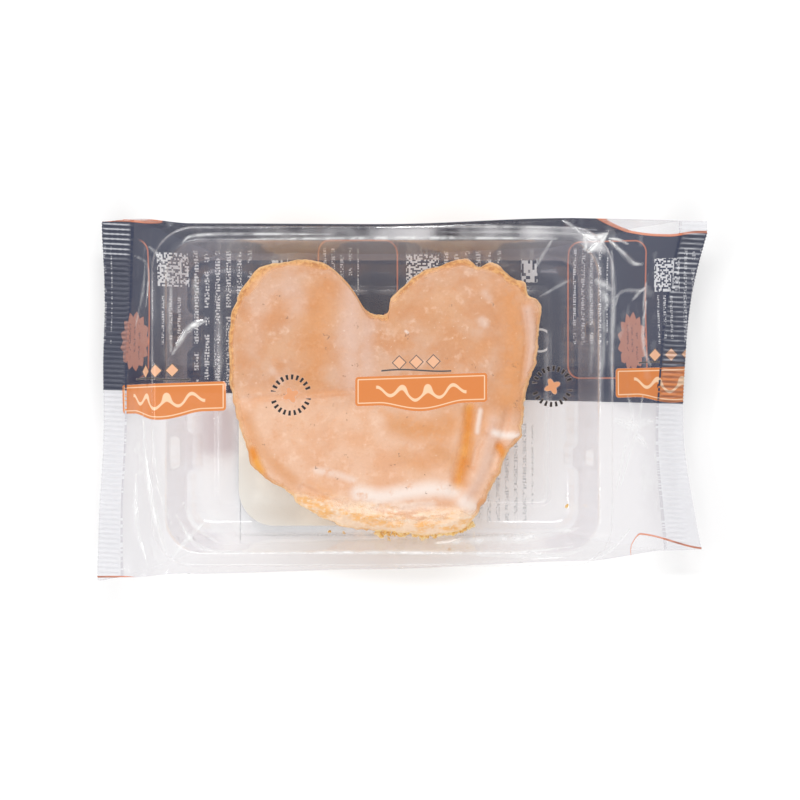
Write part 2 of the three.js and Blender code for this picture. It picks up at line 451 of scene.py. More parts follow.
def crimp_height(sign, y):
    return CRIMPS[sign]["height"] + CRIMP_WAVE * np.sin(2 * math.pi * y / CRIMP_WAVE_LENGTH)


def pleat(y, slope):
    """The fan of pleats between the tray and a crimp."""
    fan = np.cos(math.pi * PLEATS * (y / TRAY_WIDTH) + 1)
    return PLEAT_DEPTH * fan * 4 * slope * (1 - slope)


def film_over_tray(x, y):
    """The film's height inside the rim, where it is drawn up over the pastry."""
    share = pastry_share(x, y)
    over = OVER_PASTRY + PASTRY_SWELL * (1 - np.clip(share, 0, 1) ** 2)
    beside = BESIDE_PASTRY + 0.1 * ramp(1.07, 1.5, share)
    return lerp(over, beside, ramp(0.975, 1.07, share))


def film_on_top(sign, reach, y, x, from_edge):
    slope = np.clip(reach - 1, 0, 1)
    rim = RIM_HEIGHT + FILM_GAP - EDGE_ROUND
    to_rim = np.minimum(from_edge, np.clip(1 - reach, 0, 1) * TRAY_LENGTH / 2)
    held = lerp(rim, film_over_tray(x, y), np.sqrt(np.clip(to_rim / RIM_ROUND, 0, 1)))
    taut = np.where(reach < 1, held, rim)
    return lerp(taut, crimp_height(sign, y), slope) + pleat(y, slope)


def film_below(sign, reach, y):
    slope = np.clip(reach - 1, 0, 1)
    return lerp(FILM_BASE, crimp_height(sign, y), slope) - pleat(y, slope) * slope * 0.5


# The film's own folds and painted highlight streaks: a line, its half-width, its height, and how strong the
# painted white highlight along it is.
FILM_CREASES = [
    ([(72.5, 66.1), (77.7, 64.9), (82.5, 66.9)], 2.2, 1, 1),
    ([(82.1, 66.1), (78.5, 62.1), (74.5, 59.3)], 1.9, 0.9, 1),
    ([(72.9, 65.7), (73.7, 60.1)], 1.5, 0.5, 0.9),
    ([(83.3, 64.1), (88.1, 60.1), (93.7, 55.7), (97.7, 55.3)], 1.3, 1.2, 1),
    ([(82.9, 64.9), (87.3, 64.5), (91.3, 62.9)], 0.9, 0.5, 0.8),
    ([(72.5, 66.1), (68.1, 69.7), (64.1, 72.1)], 0.9, 0.3, 0.6),
    ([(60.1, 64.1), (56.5, 58.1), (53.3, 52.5)], 0.9, 0, 0.5),
    ([(55.3, 41.3), (61.3, 44.9), (67.3, 48.1)], 0.8, 0, 0.4),
    ([(77.3, 48.1), (80.5, 46.1), (84.1, 44.1)], 2.4, 0.3, 0.8),
    ([(80.1, 45.7), (81.7, 40.1), (80.9, 35.3)], 1.8, 0.3, 0.6),
    ([(76.1, 58), (75.3, 44), (76.1, 24), (75.3, 8)], 1.4, 0.3, 0.24),
    ([(84.1, 60), (84.9, 44), (84.1, 20), (84.5, 2)], 1.4, 0.5, 0.5),
    ([(79.3, 52), (80.9, 28), (79.3, 4)], 1.2, 0.2, 0.35),
    ([(84.9, 40.9), (90.1, 44.1), (97.3, 44.5), (99.3, 46.5)], 0.9, 0.5, 0.7),
    ([(85.7, 38.1), (87.3, 42.9), (92.1, 44.9)], 0.8, 0.2, 0.5),
    ([(97.7, 36.1), (98.9, 42.9), (99.7, 48.1)], 0.8, 0.3, 0.5),
    ([(99.3, 40.1), (97.7, 28.1), (99.3, 18.1), (101.7, 14.1)], 1.1, 0.6, 0.7),
    ([(92.9, 40.1), (97.7, 45.3)], 0.9, 0.2, 0.6),
    ([(86, -8), (94, -10), (103, -8.5)], 3.2, 0.3, 0.55),
    ([(91, 2), (93, -6), (90, -20), (86, -36)], 1.2, 0.6, 0.5),
    ([(95, -14), (100, -19)], 2, 0.5, 0.6),
    ([(98, 2), (95, -14), (88, -34)], 1, 0.6, 0.45),
    ([(92, -52), (84, -60), (76, -64)], 1.2, 0.5, 0.6),
    ([(104, -22), (107, -36), (114, -46)], 1.4, 0.5, 0.6),
    ([(-89.9, 22.1), (-85.9, 27.7), (-81.5, 30.9), (-78.3, 31.7)], 1.7, 0.6, 0.95),
    ([(-91.9, 18.1), (-87.5, 24.9), (-84.7, 29.3)], 1.1, 0.3, 0.6),
    ([(-82.7, 49), (-82.3, 40.9), (-82.3, 33)], 2.2, 0, 0.34),
    ([(-92.3, 45), (-92.7, 32), (-92.3, 20)], 1, 0.2, 0.45),
    ([(-109.2, 59), (-104, 56), (-102, 50), (-103, 38)], 1.1, 0.5, 0.5),
    ([(-104, 55), (-105, 44), (-108, 30)], 1.2, 0.5, 0.35),
    ([(-102, 62), (-96, 56), (-92.5, 46)], 1.2, 0.4, 0.4),
    ([(-104, -6), (-103, -26), (-98, -48), (-94, -62)], 1.6, 0.9, 0.6),
    ([(-100, -10), (-97, -34), (-92, -50)], 1.2, 0.6, 0.35),
    ([(-108, -30), (-107, -50), (-104, -66)], 1.5, 0.7, 0.55),
    ([(-90, -46), (-84, -56), (-76, -60.4), (-60, -61)], 1.1, 0, 0.8),
    ([(-88, -40), (-82, -51), (-74, -56.4)], 0.9, 0, 0.6),
    ([(-93, -64), (-84, -54), (-76, -46)], 1.3, 0.2, 0.6),
    ([(-60, -61), (-20, -60.8), (40, -61), (68, -58.6)], 1, 0, 0.75),
    ([(-81, -46), (-72, -50), (-64, -51)], 6, 0, 0.42),
    ([(14, -57), (48, -55), (70, -51.4)], 2.6, 0, 0.6),
    ([(30, -62), (60, -62.4), (72, -60)], 1.2, 0, 0.5),
    ([(-88, 63), (-79, 66.2), (-28, 66.4)], 0.9, 0, 0.8),
    ([(-62, 64.4), (0, 64.9), (62, 64.7)], 1.1, 0, 0.75),
    ([(-10, 69.2), (40, 69.5), (78, 68.4)], 0.9, 0, 0.55),
    ([(16, 67.1), (50, 67.3), (74, 66.2)], 0.8, 0, 0.4),
]


def creases(x, y):
    """The folds' height and the painted highlight along them at each place."""
    height = np.zeros(np.shape(x))
    painted_highlight = np.zeros(np.shape(x))
    broken = np.clip(0.95 + waves(x, y, 7, 8) * 0.8, 0.3, 1)
    # Each line raises a fold and paints a white highlight along it.
    for points, width, rise, white_and_highlight in FILM_CREASES:
        line = along_line(x, y, points, width * 1.15, taper=0.8)
        height += rise * line**1.5
        painted_highlight = np.maximum(painted_highlight, white_and_highlight * line)
    return height, painted_highlight * broken


# The film's grid: points round the bag and along it, and the share of those that lies on the tray.
TOP_STEPS = 230
SIDE_STEPS = 9
BASE_STEPS = 50
ROUND_STEPS = TOP_STEPS + BASE_STEPS + 2 * SIDE_STEPS
ALONG_STEPS = 316
ON_TRAY = 0.72


def eased_steps(share):
    """Steps that crowd towards both ends."""
    return (np.sin(math.pi * (np.clip(share, 0, 1) - 0.5)) + 1) / 2


def make_film():
    """The bag's film from crimp to crimp, one closed skin drawn over the tray."""
    film, u, v = sheet_of_points("film", ALONG_STEPS, ROUND_STEPS)
    way = 2 * u - 1
    bend = np.abs(way)
    reach = np.where(bend < ON_TRAY, bend / ON_TRAY, 1 + (bend - ON_TRAY) / (1 - ON_TRAY))
    step = v * ROUND_STEPS
    base_start = TOP_STEPS + SIDE_STEPS
    near_start = base_start + BASE_STEPS
    on_top = step <= TOP_STEPS
    far_side = (step > TOP_STEPS) & (step < base_start)
    on_base = (step >= base_start) & (step <= near_start)
    x, y, z = (np.zeros(len(u)) for _ in range(3))
    for sign in (-1, 1):
        half = (way < 0) if sign < 0 else (way >= 0)
        near = along(NEAR[sign], reach)
        far = along(FAR[sign], reach)
        inset = BASE_INSET * (1 - np.clip(reach - 1, 0, 1))

        def top_at(share):
            ty = lerp(near, far, share)
            tx = ring_x(sign, reach, ty, 0, RIM_CORNER)
            return tx, ty, film_on_top(sign, reach, ty, tx, np.minimum(ty - near, far - ty))

        def base_at(share):
            by = lerp(near + inset, far - inset, share)
            return ring_x(sign, reach, by, BASE_INSET, BASE_CORNER), by, film_below(sign, reach, by)

        def side_at(from_top, share, outward):
            top, base = top_at(share), base_at(share)
            sx, sy, sz = (lerp(a, b, from_top) for a, b in zip(top, base))
            drop = np.abs(top[2] - base[2]) / RIM_HEIGHT
            return sx, sy + outward * SIDE_BULGE * drop * np.sin(math.pi * from_top), sz

        eased = lerp(eased_steps(step / TOP_STEPS), np.clip(step / TOP_STEPS, 0, 1), 0.6)
        back = eased_steps((step - base_start) / BASE_STEPS)
        down = np.clip((step - TOP_STEPS) / SIDE_STEPS, 0, 1)
        up = np.clip((step - near_start) / SIDE_STEPS, 0, 1)
        near_side = ~(on_top | far_side | on_base)
        parts = [
            (on_top, top_at(eased)),
            (far_side, side_at(down, 1, 1)),
            (on_base, base_at(1 - back)),
            (near_side, side_at(1 - up, 0, -1)),
        ]
        for mask, (px, py, pz) in parts:
            here = mask & half
            x[here], y[here], z[here] = px[here], py[here], pz[here]
    shown = on_top.astype(float)
    slope = np.clip(reach - 1, 0, 1)
    loose = np.sin(math.pi * slope) ** 0.7
    wrinkle = waves(x, y, 24, 1) * 0.12 + waves(x, y, 7, 2) * 0.05
    drawn = waves(x, y * 0.3, 6, 3) * 0.7 + waves(x * 0.6, y * 1.4, 8, 4) * 0.35
    fold, painted_highlight = creases(x, y)
    lift = (wrinkle + drawn * loose + fold * 1.2) * (1 - slope**6) * shown
    place(film, x, y, z + lift)
    paint(film, "shown", shown)
    # Painted highlights: along the creases, and on the crests of the drawn ripples on the slopes to the
    # crimps.
    painted_highlight = painted_highlight + np.maximum(drawn - 0.25, 0) * loose * 0.7
    paint(film, "painted_highlight", np.clip(painted_highlight, 0, 1) * shown)
    return tidy_mesh(film)


def two_faced(piece):
    """Gives the first material to the faces on the shown side, and the second to the rest."""
    layer = piece.data.attributes["shown"]
    shown = np.empty(len(piece.data.vertices), dtype=np.float32)
    layer.data.foreach_get("value", shown)
    above = np.array([min(shown[i] for i in face.vertices) > 0.5 for face in piece.data.polygons])
    piece.data.polygons.foreach_set("material_index", np.where(above, 0, 1).astype(np.int32))
    piece.data.attributes.remove(layer)
    piece.data.update()


# A crimp's grid, where it starts inside the film's edge, and its zigzag cut.
CRIMP_ALONG = 450
CRIMP_STEPS = 12
CRIMP_START = 1.99
CUT_PITCH, CUT_DEPTH = 1.3, 0.6


def make_crimp(name, sign):
    """A pressed end of the bag: two films sealed together in short ribs, with a wavy cut edge."""
    crimp, u, v = sheet_of_points(name, CRIMP_ALONG, 2 * CRIMP_STEPS)
    way = v * 2
    on_top = way <= 1
    share = np.where(on_top, way, 2 - way)
    reach = CRIMP_START + share * (3 - CRIMP_START)
    near = along(NEAR[sign], reach)
    far = along(FAR[sign], reach)
    y = lerp(near, far, u)
    x = ring_x(sign, reach, y, 0, RIM_CORNER)
    saw = np.abs(((y / CUT_PITCH) % 1) - 0.5) * CUT_DEPTH
    x = x - sign * saw * ramp(0.93, 1, share)
    reached = ramp(0.06, 0.2, share) * (1 - ramp(0.93, 1, share))
    if sign > 0:
        reached = reached * (1 - ramp(0.55, 0.75, share) * (0.35 + 0.65 * ramp(-20, -50, y)))
    phase = np.cos(2 * math.pi * (y + 0.05 * x) / RIB_PITCH)
    centre = crimp_height(sign, y) + 0.5 * RIB_DEPTH * phase * reached
    centre = centre + waves(x, y, 16, 5) * 0.5 * ramp(0.2, 1, share)
    centre = centre + waves(x, y, 4, 6) * 0.12 * reached
    thick = CRIMP_THICKNESS * np.sin(math.pi * np.clip(share, 0, 0.98)) ** 0.5
    thick = thick * np.minimum(1, np.minimum(u, 1 - u) * 400)
    thick = np.where((share < 1e-6) | (share > 1 - 1e-6), 0, thick)
    z = centre + np.where(on_top, 0.5, -0.5) * thick
    place(crimp, x, y, z)
    paint(crimp, "shown", on_top.astype(float))
    # rib is 0 on the crests and 1 in the troughs: the material paints highlight on the crests and shade in
    # the troughs.
    paint(crimp, "rib", 0.5 - 0.5 * phase * reached)
    # Painted highlight on the rib crests: across the right crimp from its middle to its far side, and along
    # the left crimp's far edge.
    if sign > 0:
        lit = ramp(8, 24, y) * (0.55 + waves(x, y, 9, 7) * 0.6)
    else:
        lit = ramp(57, 60, y) * 0.9
    paint(crimp, "lit", np.clip(lit, 0, 1) * reached * ramp(0.5, 1, phase))
    return tidy_mesh(crimp, merge=0.002)


# The tray: insets of the rounded outline and heights, from the rim's lip in to the raised floor.
TRAY_PROFILE = [
    (0.2, 25.2), (0, 25.8), (0.1, 26.5), (0.5, 26.9), (1.1, 27), (3, 27), (4.6, 27), (5.3, 26.8),
    (5.8, 26.2), (6.2, 25), (7.2, 21), (8.4, 16.5), (9.6, 12), (10.8, 8), (12, 5.2), (13.6, 3.2),
    (15.6, 1.9), (17.6, 1.2), (19.4, 0.9), (21.6, 0.9), (22.4, 1.1), (22.9, 1.6), (23.3, 2.1), (24, 2.4),
    (26, 2.4), (34, 2.4), (46, 2.4), (58, 2.4), (68, 2.4),
]
# How much painted highlight lies along each ring of the profile.
TRAY_BEND_HIGHLIGHTS = [
    0.2, 0.6, 1, 0.5, 0.1, 0, 0.2, 0.8, 0.8, 0.2, 0, 0, 0, 0, 0.1, 0.2,
    0.2, 0.1, 0, 0, 0.5, 0.3, 0.5, 0.8, 0, 0, 0, 0, 0,
]
TRAY_WALL = 0.35
TRAY_AROUND = 320


def rounded_ring(turn, inset):
    """A place on the tray's rounded outline, drawn in by an inset, at a share of the way round."""
    half_length, half_width = TRAY_LENGTH / 2 - inset, TRAY_WIDTH / 2 - inset
    corner = max(RIM_CORNER - 0.55 * inset, 3)
    corner = min(corner, half_width)
    quarter = math.pi / 2 * corner
    length, width = half_length - corner, half_width - corner
    whole = 4 * (length + width + quarter)
    way = (turn % 1) * whole
    x, y = np.zeros(len(turn)), np.zeros(len(turn))
    start = heading = 0
    px, py = -length, -half_width
    for straight in (length * 2, width * 2) * 2:
        here = (way >= start - 1e-9) & (way <= start + straight)
        run = way[here] - start
        x[here], y[here] = px + math.cos(heading) * run, py + math.sin(heading) * run
        px, py = px + math.cos(heading) * straight, py + math.sin(heading) * straight
        start += straight
        here = (way > start) & (way <= start + quarter)
        turned = (way[here] - start) / corner
        cx, cy = px - math.sin(heading) * corner, py + math.cos(heading) * corner
        x[here] = cx + corner * np.sin(heading + turned)
        y[here] = cy - corner * np.cos(heading + turned)
        heading += math.pi / 2
        px, py = cx + math.sin(heading) * corner, cy - math.cos(heading) * corner
        start += quarter
    return TRAY_CENTRE[0] + x, TRAY_CENTRE[1] + y


# Stacking lugs on the tray's end walls: end, place along Y, and half-width.
TRAY_LUGS = [(1, 27, 4.2), (1, -25, 4.2), (-1, -23, 7.5), (-1, 27, 7.5)]
LUG_DEPTH = 2.2


def make_tray():
    """The thermoformed tray: a rolled lip, a flat rim, leaning walls with lugs, and a raised floor."""
    rings = len(TRAY_PROFILE)
    tray, u, v = sheet_of_points("tray", TRAY_AROUND, (rings - 1) * 2)
    level = v * (rings - 1)
    inset = np.interp(level, range(rings), [p[0] for p in TRAY_PROFILE])
    height = np.interp(level, range(rings), [p[1] for p in TRAY_PROFILE])
    x, y = np.zeros(len(u)), np.zeros(len(u))
    for value in np.unique(inset):
        here = inset == value
        x[here], y[here] = rounded_ring(u[here], value)
    for sign, at, half in TRAY_LUGS:
        on_end = (x - TRAY_CENTRE[0]) * sign > TRAY_LENGTH / 2 - 24
        beside = 1 - ramp(half - 1, half + 0.6, np.abs(y - TRAY_CENTRE[1] - at))
        on_wall = ramp(6.5, 8.5, inset) * (1 - ramp(14.5, 17.5, inset))
        x -= sign * LUG_DEPTH * beside * on_wall * on_end
    place(tray, x, y, height)
    # Painted highlight along the bends, stronger on the far flange.
    flange = ramp(0.4, 1.4, inset) * (1 - ramp(4, 6, inset)) * ramp(58, 61, y)
    bend = np.interp(level, range(rings), TRAY_BEND_HIGHLIGHTS)
    paint(tray, "bend", np.maximum(bend, flange * ramp(-70, -20, x) * 1.6))
    # Painted streaky reflections in the end walls.
    ends = ramp(TRAY_LENGTH / 2 - 30, TRAY_LENGTH / 2 - 22, np.abs(x - TRAY_CENTRE[0]))
    paint(tray, "wall", ramp(5.6, 6.6, inset) * (1 - ramp(15, 19, inset)) * ends)
    tidy_mesh(tray, outward=False)
    apply_modifier(tray, "SOLIDIFY", thickness=TRAY_WALL * MM, offset=0)
    only(tray)
    bpy.ops.object.shade_smooth()
    return tray


# The pastry's folds: lines, half-widths and heights, raised above the crust or sunk into it.
FOLDS = [
    ([(-32, 43.8), (-33.6, 28.6), (-34.4, 14), (-32.4, 2.4)], 5, -0.8),
    ([(-69, -0.2), (-55.4, 0.8), (-40.2, 2), (-24.2, 3.4), (-10, 3.8)], 2.2, -0.9),
    ([(-62, -3.8), (-46, -2.4), (-32, -1), (-18, 0.4)], 4.5, 0.6),
    ([(-17.4, 40), (-17.8, 24), (-17.4, 4)], 9, 0.9),
    ([(27.6, -1.6), (25.6, -14.4), (23.6, -23.6), (21.4, -35)], 4.2, -1.5),
    ([(38, -6), (34.6, -17.4), (30.6, -29.4), (25.6, -40.6)], 4.6, 1.3),
    ([(31.4, -4.2), (30.2, -12.6)], 2.2, 0.7),
    ([(33.2, -14), (30.4, -19.4), (28, -27)], 1.6, -0.9),
    ([(42.6, -4), (41, -12), (36.6, -26)], 2.4, -1.1),
    ([(35.8, -12.6), (40.6, -14.2), (47, -14.6)], 3, 1),
    ([(-33, -30.6), (-22.2, -35.4), (-10.2, -38.2), (7.8, -37.4), (20.6, -34.4)], 5, 1),
    ([(-40, -35), (-24, -42), (-6, -44), (12, -43), (22, -43.6)], 2.2, -1.2),
    ([(-30, -45.6), (-14, -48.2), (4, -49), (18, -47.8)], 1.8, -1.1),
    ([(-0.2, 28.6), (7.8, 40.6), (21.8, 45), (35.8, 40), (41.8, 26.6), (39.8, 8.6), (31, 0.6)], 4.5, -0.55),
    ([(10, 24), (17, 33), (27, 30), (30, 18)], 4, -0.35),
    ([(-64.2, 6.6), (-65, 24.6), (-59.4, 41.4), (-46.2, 48.6), (-35.4, 43.8)], 4, -0.45),
    ([(-60, -18), (-50, -30), (-34, -38)], 3, -0.5),
    ([(-7, 33), (-6, 18), (-3, 6)], 3, -0.55),
    ([(-24.4, -4.4), (-30, -14), (-22, -26), (-8, -29), (4, -24)], 2.6, -0.45),
    ([(6, -22), (14, -27), (20, -22), (13, -18), (6, -22)], 2, -0.5),
    ([(51, 36), (52.8, 24), (51.4, 10)], 2.6, 0.9),
    ([(48.2, 38), (49.8, 24), (48, 8)], 1.6, -0.8),
]

# Where the crust and the glaze change colour, and where highlights are painted on the glaze: lines,
# half-widths and strengths.
GOLD_LINES = [
    ([(-68.6, 6), (-68.4, 30), (-61.4, 47), (-52, 54.4), (-43, 56), (-31, 53.8)], 3, 1),
    ([(-22, 48), (-14, 40), (-10, 34.6), (-6, 32.6)], 2.6, 0.8),
    ([(-3, 37), (4, 47.6), (12.6, 53.4), (24.6, 55.2), (38, 52), (50, 43.6)], 3, 0.9),
    ([(-18.2, -50.8), (-6, -53), (6, -53.6)], 2.8, 1),
    ([(-40, -38), (-28, -46), (-14, -50)], 2.2, 0.6),
]
SAFFRON_LINES = [
    ([(27, -3.6), (26.3, -14.4), (25, -24), (22.5, -33.5)], 4.4, 0.95),
    ([(25.6, -26), (23, -32.6)], 4, 0.8),
    ([(-59.8, -20.6), (-56.8, -28.4)], 3.4, 1),
    ([(39, -18.6), (41, -21.8)], 3, 0.9),
]
PALE_LINES = [
    ([(-33, -33.6), (-22.2, -41), (-6, -46), (12, -46.4), (24, -44)], 6, 0.8),
    ([(24, -50), (29, -50.8)], 3, 1),
]
WARM_LINES = [
    ([(-60, 30), (-50, 36), (-38, 36)], 9, 0.3),
    ([(-66, -2), (-61, -16)], 4, 0.5),
    ([(30, 46), (42, 46)], 5, 0.4),
    ([(-36, -34), (-28, -38)], 4, 0.6),
    ([(-12, -45), (4, -46)], 2, 0.6),
    ([(8, 8), (22, 12), (34, 22)], 7, 0.35),
    ([(-33, 42.6), (-35.6, 14.6)], 10, 0.4),
    ([(44, 42.6), (45, 24.6), (43, 0.6)], 9.5, 0.6),
    ([(-58.2, 0.2), (-40.2, 2), (-24.2, 3.2), (-11.4, 3.6)], 2.4, 0.45),
    ([(-36, 3), (-24.2, 3.2)], 2.6, 0.5),
    ([(-8, -4.4), (-5, -6.4)], 3, 0.7),
    ([(4, -10), (14, -13.6), (21, -9)], 8, 0.55),
    ([(12, -15.2), (16, -15.8)], 3, 0.8),
    ([(5, -25), (14, -26)], 5.5, 0.4),
    ([(33, -3), (31.6, -12), (34, -9)], 3, 0.6),
    ([(-24, -15), (-8, -24)], 13, 0.25),
    ([(28.4, -17), (27, -25)], 1.4, 0.9),
]
PINK_LINES = [
    ([(-19.6, 42), (-20.6, 24), (-20, 8)], 8, 1),
    ([(-14, 30), (-14.6, 18), (-14, 8)], 6, 0.8),
    ([(36.6, -8.4), (34.6, -20.4), (31, -31.4), (24.6, -41.4)], 4, 0.9),
    ([(50.4, 36), (52.2, 24), (50.6, 6)], 3.8, 1),
    ([(-46, 46), (-42, 38)], 7, 0.6),
    ([(-46, 48), (-56, 38), (-60, 20)], 6, 0.35),
]
# Thick white glaze, and painted highlights on the glaze on the right lobe and beside the right-hand fold.
WHITE_GLAZE_AND_HIGHLIGHT_LINES = [
    ([(-34, -28), (-26, -29.6), (-19.5, -32)], 2.6, 0.55),
    ([(-17, -37.2), (-8.7, -38.6), (2.1, -36.8), (12.5, -35.6), (21, -36.4)], 5.6, 1),
    ([(-12, -43), (0, -42.4), (12, -42)], 3.4, 0.55),
    ([(33, 43), (35, 41)], 3, 0.3),
    ([(32.2, 32), (33.4, 30.6)], 3, 0.45),
    ([(37, -13), (41, -14), (46.6, -14.2)], 2.6, 1),
    ([(31.4, -4.2), (30.2, -12.6)], 1.8, 0.8),
    ([(24.6, -40.4), (28.6, -43)], 5, 0.8),
    ([(1.6, 27.6), (2.4, 27)], 0.9, 0.9),
    ([(-52, 12), (-48, 8)], 2.4, 0.25),
]
AMBER_LINES = [
    ([(-2, -10), (8, -12), (18, -10)], 8, 0.8),
    ([(14, -20), (22, -24)], 8, 0.75),
    ([(0, -22), (8, -26)], 7, 0.5),
    ([(-33, 44), (-35, 26), (-36, 8)], 10.5, 0.6),
    ([(43, 42), (45, 24), (43, 0.6)], 10, 0.75),
    ([(-4, 32), (2, 22)], 5, 0.4),
    ([(44, 20), (30, 22), (20, 26)], 6, 0.3),
    ([(-62, -8), (-56, -20), (-44, -32)], 5, 0.6),
    ([(-20, 6), (-10, 7)], 5, 0.5),
]
# The pastry's and the glaze's grids: points round them, and rings on top, down the side and below.
PASTRY_AROUND = 520
PASTRY_RINGS = 104
PASTRY_SIDE = 40
PASTRY_UNDER = 12
GLAZE_UNDER = 78
# Rings crowd towards the edge by this power. Leaves of dough lie this far apart.
RING_CROWDING = 1.35
LEAF_PITCH = 1.7
SCALLOP = 0.75
# The glaze from its thinnest to its thickest, above the crust, and its hidden underside.
GLAZE_THIN, GLAZE_THICK, GLAZE_SUNK = -0.12, 0.42, -0.4


def painted_lines(x, y, lines):
    """How strongly a set of lines marks each place."""
    total = np.zeros(np.shape(x))
    for points, width, strength in lines:
        total = np.maximum(total, strength * along_line(x, y, points, width))
    return total


def pastry_relief(x, y):
    """The folds' height at each place."""
    total = np.zeros(np.shape(x))
    for points, width, height in FOLDS:
        total += height * along_line(x, y, points, width)
    return total


def scallops(turn):
    """The small unevenness of the edge, in millimetres."""
    return waves(np.cos(turn) * 60, np.sin(turn) * 60, 5, 11) * SCALLOP


def crumbly(x, y):
    """1 on the near edge, where the glaze has broken over the crumb."""
    return ramp(-39, -44.5, y + 0.1 * x) * ramp(-50, -38, x)


def pastry_surface(turn, share):
    """A place on the pastry's shown side, from its centre out to its shoulder."""
    x, y = round_pastry(turn, (pastry_reach(turn) + scallops(turn)) * share)
    from_edge = (1 - share) * pastry_reach(turn)
    low = ramp(-38, -54, y)
    shoulder = lerp(4, 12, low)
    out = 1 - np.clip(from_edge / shoulder, 0, 1)
    drop = lerp(2.6, 8, low) * (1 - np.sqrt(np.clip(1 - out**2, 0, 1)))
    relief = pastry_relief(x, y) * ramp(0, 2.5, from_edge)
    uneven = waves(x, y, 30, 21) * 0.5 + waves(x, y, 9, 22) * 0.2 + waves(x, y, 2.6, 23) * 0.09
    flaky = (waves(x, y * 1.8, 4, 24) * 0.9 + waves(x, y, 1.8, 25) * 0.3) * crumbly(x, y)
    z = PASTRY_TOP - drop + 0.36 * (1 - share**2) + relief * 0.8 + uneven + flaky
    return x, y, z, from_edge


def make_pastry():
    """The heart: a crusty top with its folds, flaky sides in thin layers, and a flat underside."""
    rows = PASTRY_RINGS + PASTRY_SIDE + PASTRY_UNDER
    pastry, u, v = sheet_of_points("pastry", PASTRY_AROUND, rows)
    turn = (2 * u - 1) * math.pi
    row = v * rows
    share = np.clip(row / PASTRY_RINGS, 0, 1)
    share = 1 - (1 - share) ** RING_CROWDING
    x, y, z, from_edge = pastry_surface(turn, share)
    down = np.clip((row - PASTRY_RINGS) / PASTRY_SIDE, 0, 1)
    side_z = lerp(z, PASTRY_BASE, down)
    layers = np.abs(((side_z + waves(x, y, 12, 31) * 1.6) / LEAF_PITCH) % 1 - 0.5) * 2
    swell = np.sin(math.pi * down)
    rough = waves(x + side_z * 3, y - side_z * 2, 3.5, 32) * 0.5
    out = (0.5 + (layers - 0.6) * 0.9 + rough) * swell - 1.2 * down**3
    out = np.where(row > PASTRY_RINGS, out, 0)
    under = np.clip((row - PASTRY_RINGS - PASTRY_SIDE) / PASTRY_UNDER, 0, 1)
    x, y = x + np.cos(turn) * out, y + np.sin(turn) * out
    x = lerp(x, PASTRY_CENTRE[0], under)
    y = lerp(y, PASTRY_CENTRE[1], under)
    z = np.where(row > PASTRY_RINGS, side_z, z)
    place(pastry, x, y, z)
    on_side = (row > PASTRY_RINGS).astype(float)
    paint(pastry, "side", np.maximum(on_side, 1 - ramp(0, 1.6, from_edge)))
    for name, lines in (("gold", GOLD_LINES), ("saffron", SAFFRON_LINES)):
        paint(pastry, name, painted_lines(x, y, lines))
    paint(pastry, "pale", np.maximum(painted_lines(x, y, PALE_LINES), crumbly(x, y) * 0.8))
    return tidy_mesh(pastry, merge=0.01)


# Where the glaze is thin or missing: lines, half-widths and how much of it is gone.
BARE = [
    ([(27.6, -1.6), (25.6, -14.4), (23.6, -23.6), (21.4, -35)], 5, 0.5),
    ([(-60.6, -19.6), (-56.8, -28.4)], 5, 0.75),
    ([(-62, 43), (-53, 53.4), (-43, 55.6), (-31, 53.4)], 2.6, 0.9),
    ([(39, -18.6), (41, -21.8)], 3, 0.7),
    ([(-40, -42), (-18.2, -50.8), (4, -54), (26, -51)], 8, 1),
    ([(3, 47), (12.6, 53), (24.6, 55), (38, 52)], 2.4, 0.6),
]


def make_glaze():
    """The set sugar glaze: a thin coat that runs thick and thin over the pastry's top and shoulders."""
    rows = PASTRY_RINGS + GLAZE_UNDER
    glaze, u, v = sheet_of_points("glaze", PASTRY_AROUND, rows)
    turn = (2 * u - 1) * math.pi
    row = v * rows
    on_top = row <= PASTRY_RINGS + 0.01
    level = np.clip(np.where(on_top, row / PASTRY_RINGS, (rows - row) / GLAZE_UNDER), 0, 1)
    share = (1 - (1 - level) ** RING_CROWDING) * 0.995
    x, y, z, from_edge = pastry_surface(turn, share)
    # Thick white glaze and painted highlights: the glaze is thicker and whiter there.
    white_and_highlight = painted_lines(x, y, WHITE_GLAZE_AND_HIGHLIGHT_LINES)
    patchy = waves(x, y, 11, 41) * 0.1 + waves(x, y, 4, 42) * 0.05
    broken = crumbly(x, y)
    flakes = waves(x * 0.7, y * 1.5, 4, 43) * 0.5 + waves(x, y, 1.7, 44) * 0.3
    coat = 0.86 + 0.3 * white_and_highlight + patchy - painted_lines(x, y, BARE) - broken * (0.3 - flakes)
    ragged = waves(x, y, 3, 45) * 1.3 - painted_lines(x, y, GOLD_LINES) * 1.6
    coat = np.clip(coat, 0, 1.2) * ramp(-0.4, 3.4, from_edge + ragged)
    above = lerp(GLAZE_THIN, GLAZE_THICK, smooth(coat * 1.3))
    place(glaze, x, y, z + np.where(on_top, above, GLAZE_SUNK))
    for name, values in (("coat", coat), ("white_and_highlight", white_and_highlight), ("crumbly", broken)):
        paint(glaze, name, values)
    tints = {"warm": WARM_LINES, "pink": PINK_LINES, "amber": AMBER_LINES, "saffron": SAFFRON_LINES}
    for name, lines in tints.items():
        paint(glaze, name, painted_lines(x, y, lines))
    return tidy_mesh(glaze, merge=0.01)


# The sheet's near left and far right corners, its rounding, its height and its thickness.
SHEET_BOX = (-67.8, -52, 29.4, 24)
SHEET_CORNER = 15
SHEET_HEIGHT = 2.75
SHEET_THICKNESS = 0.12


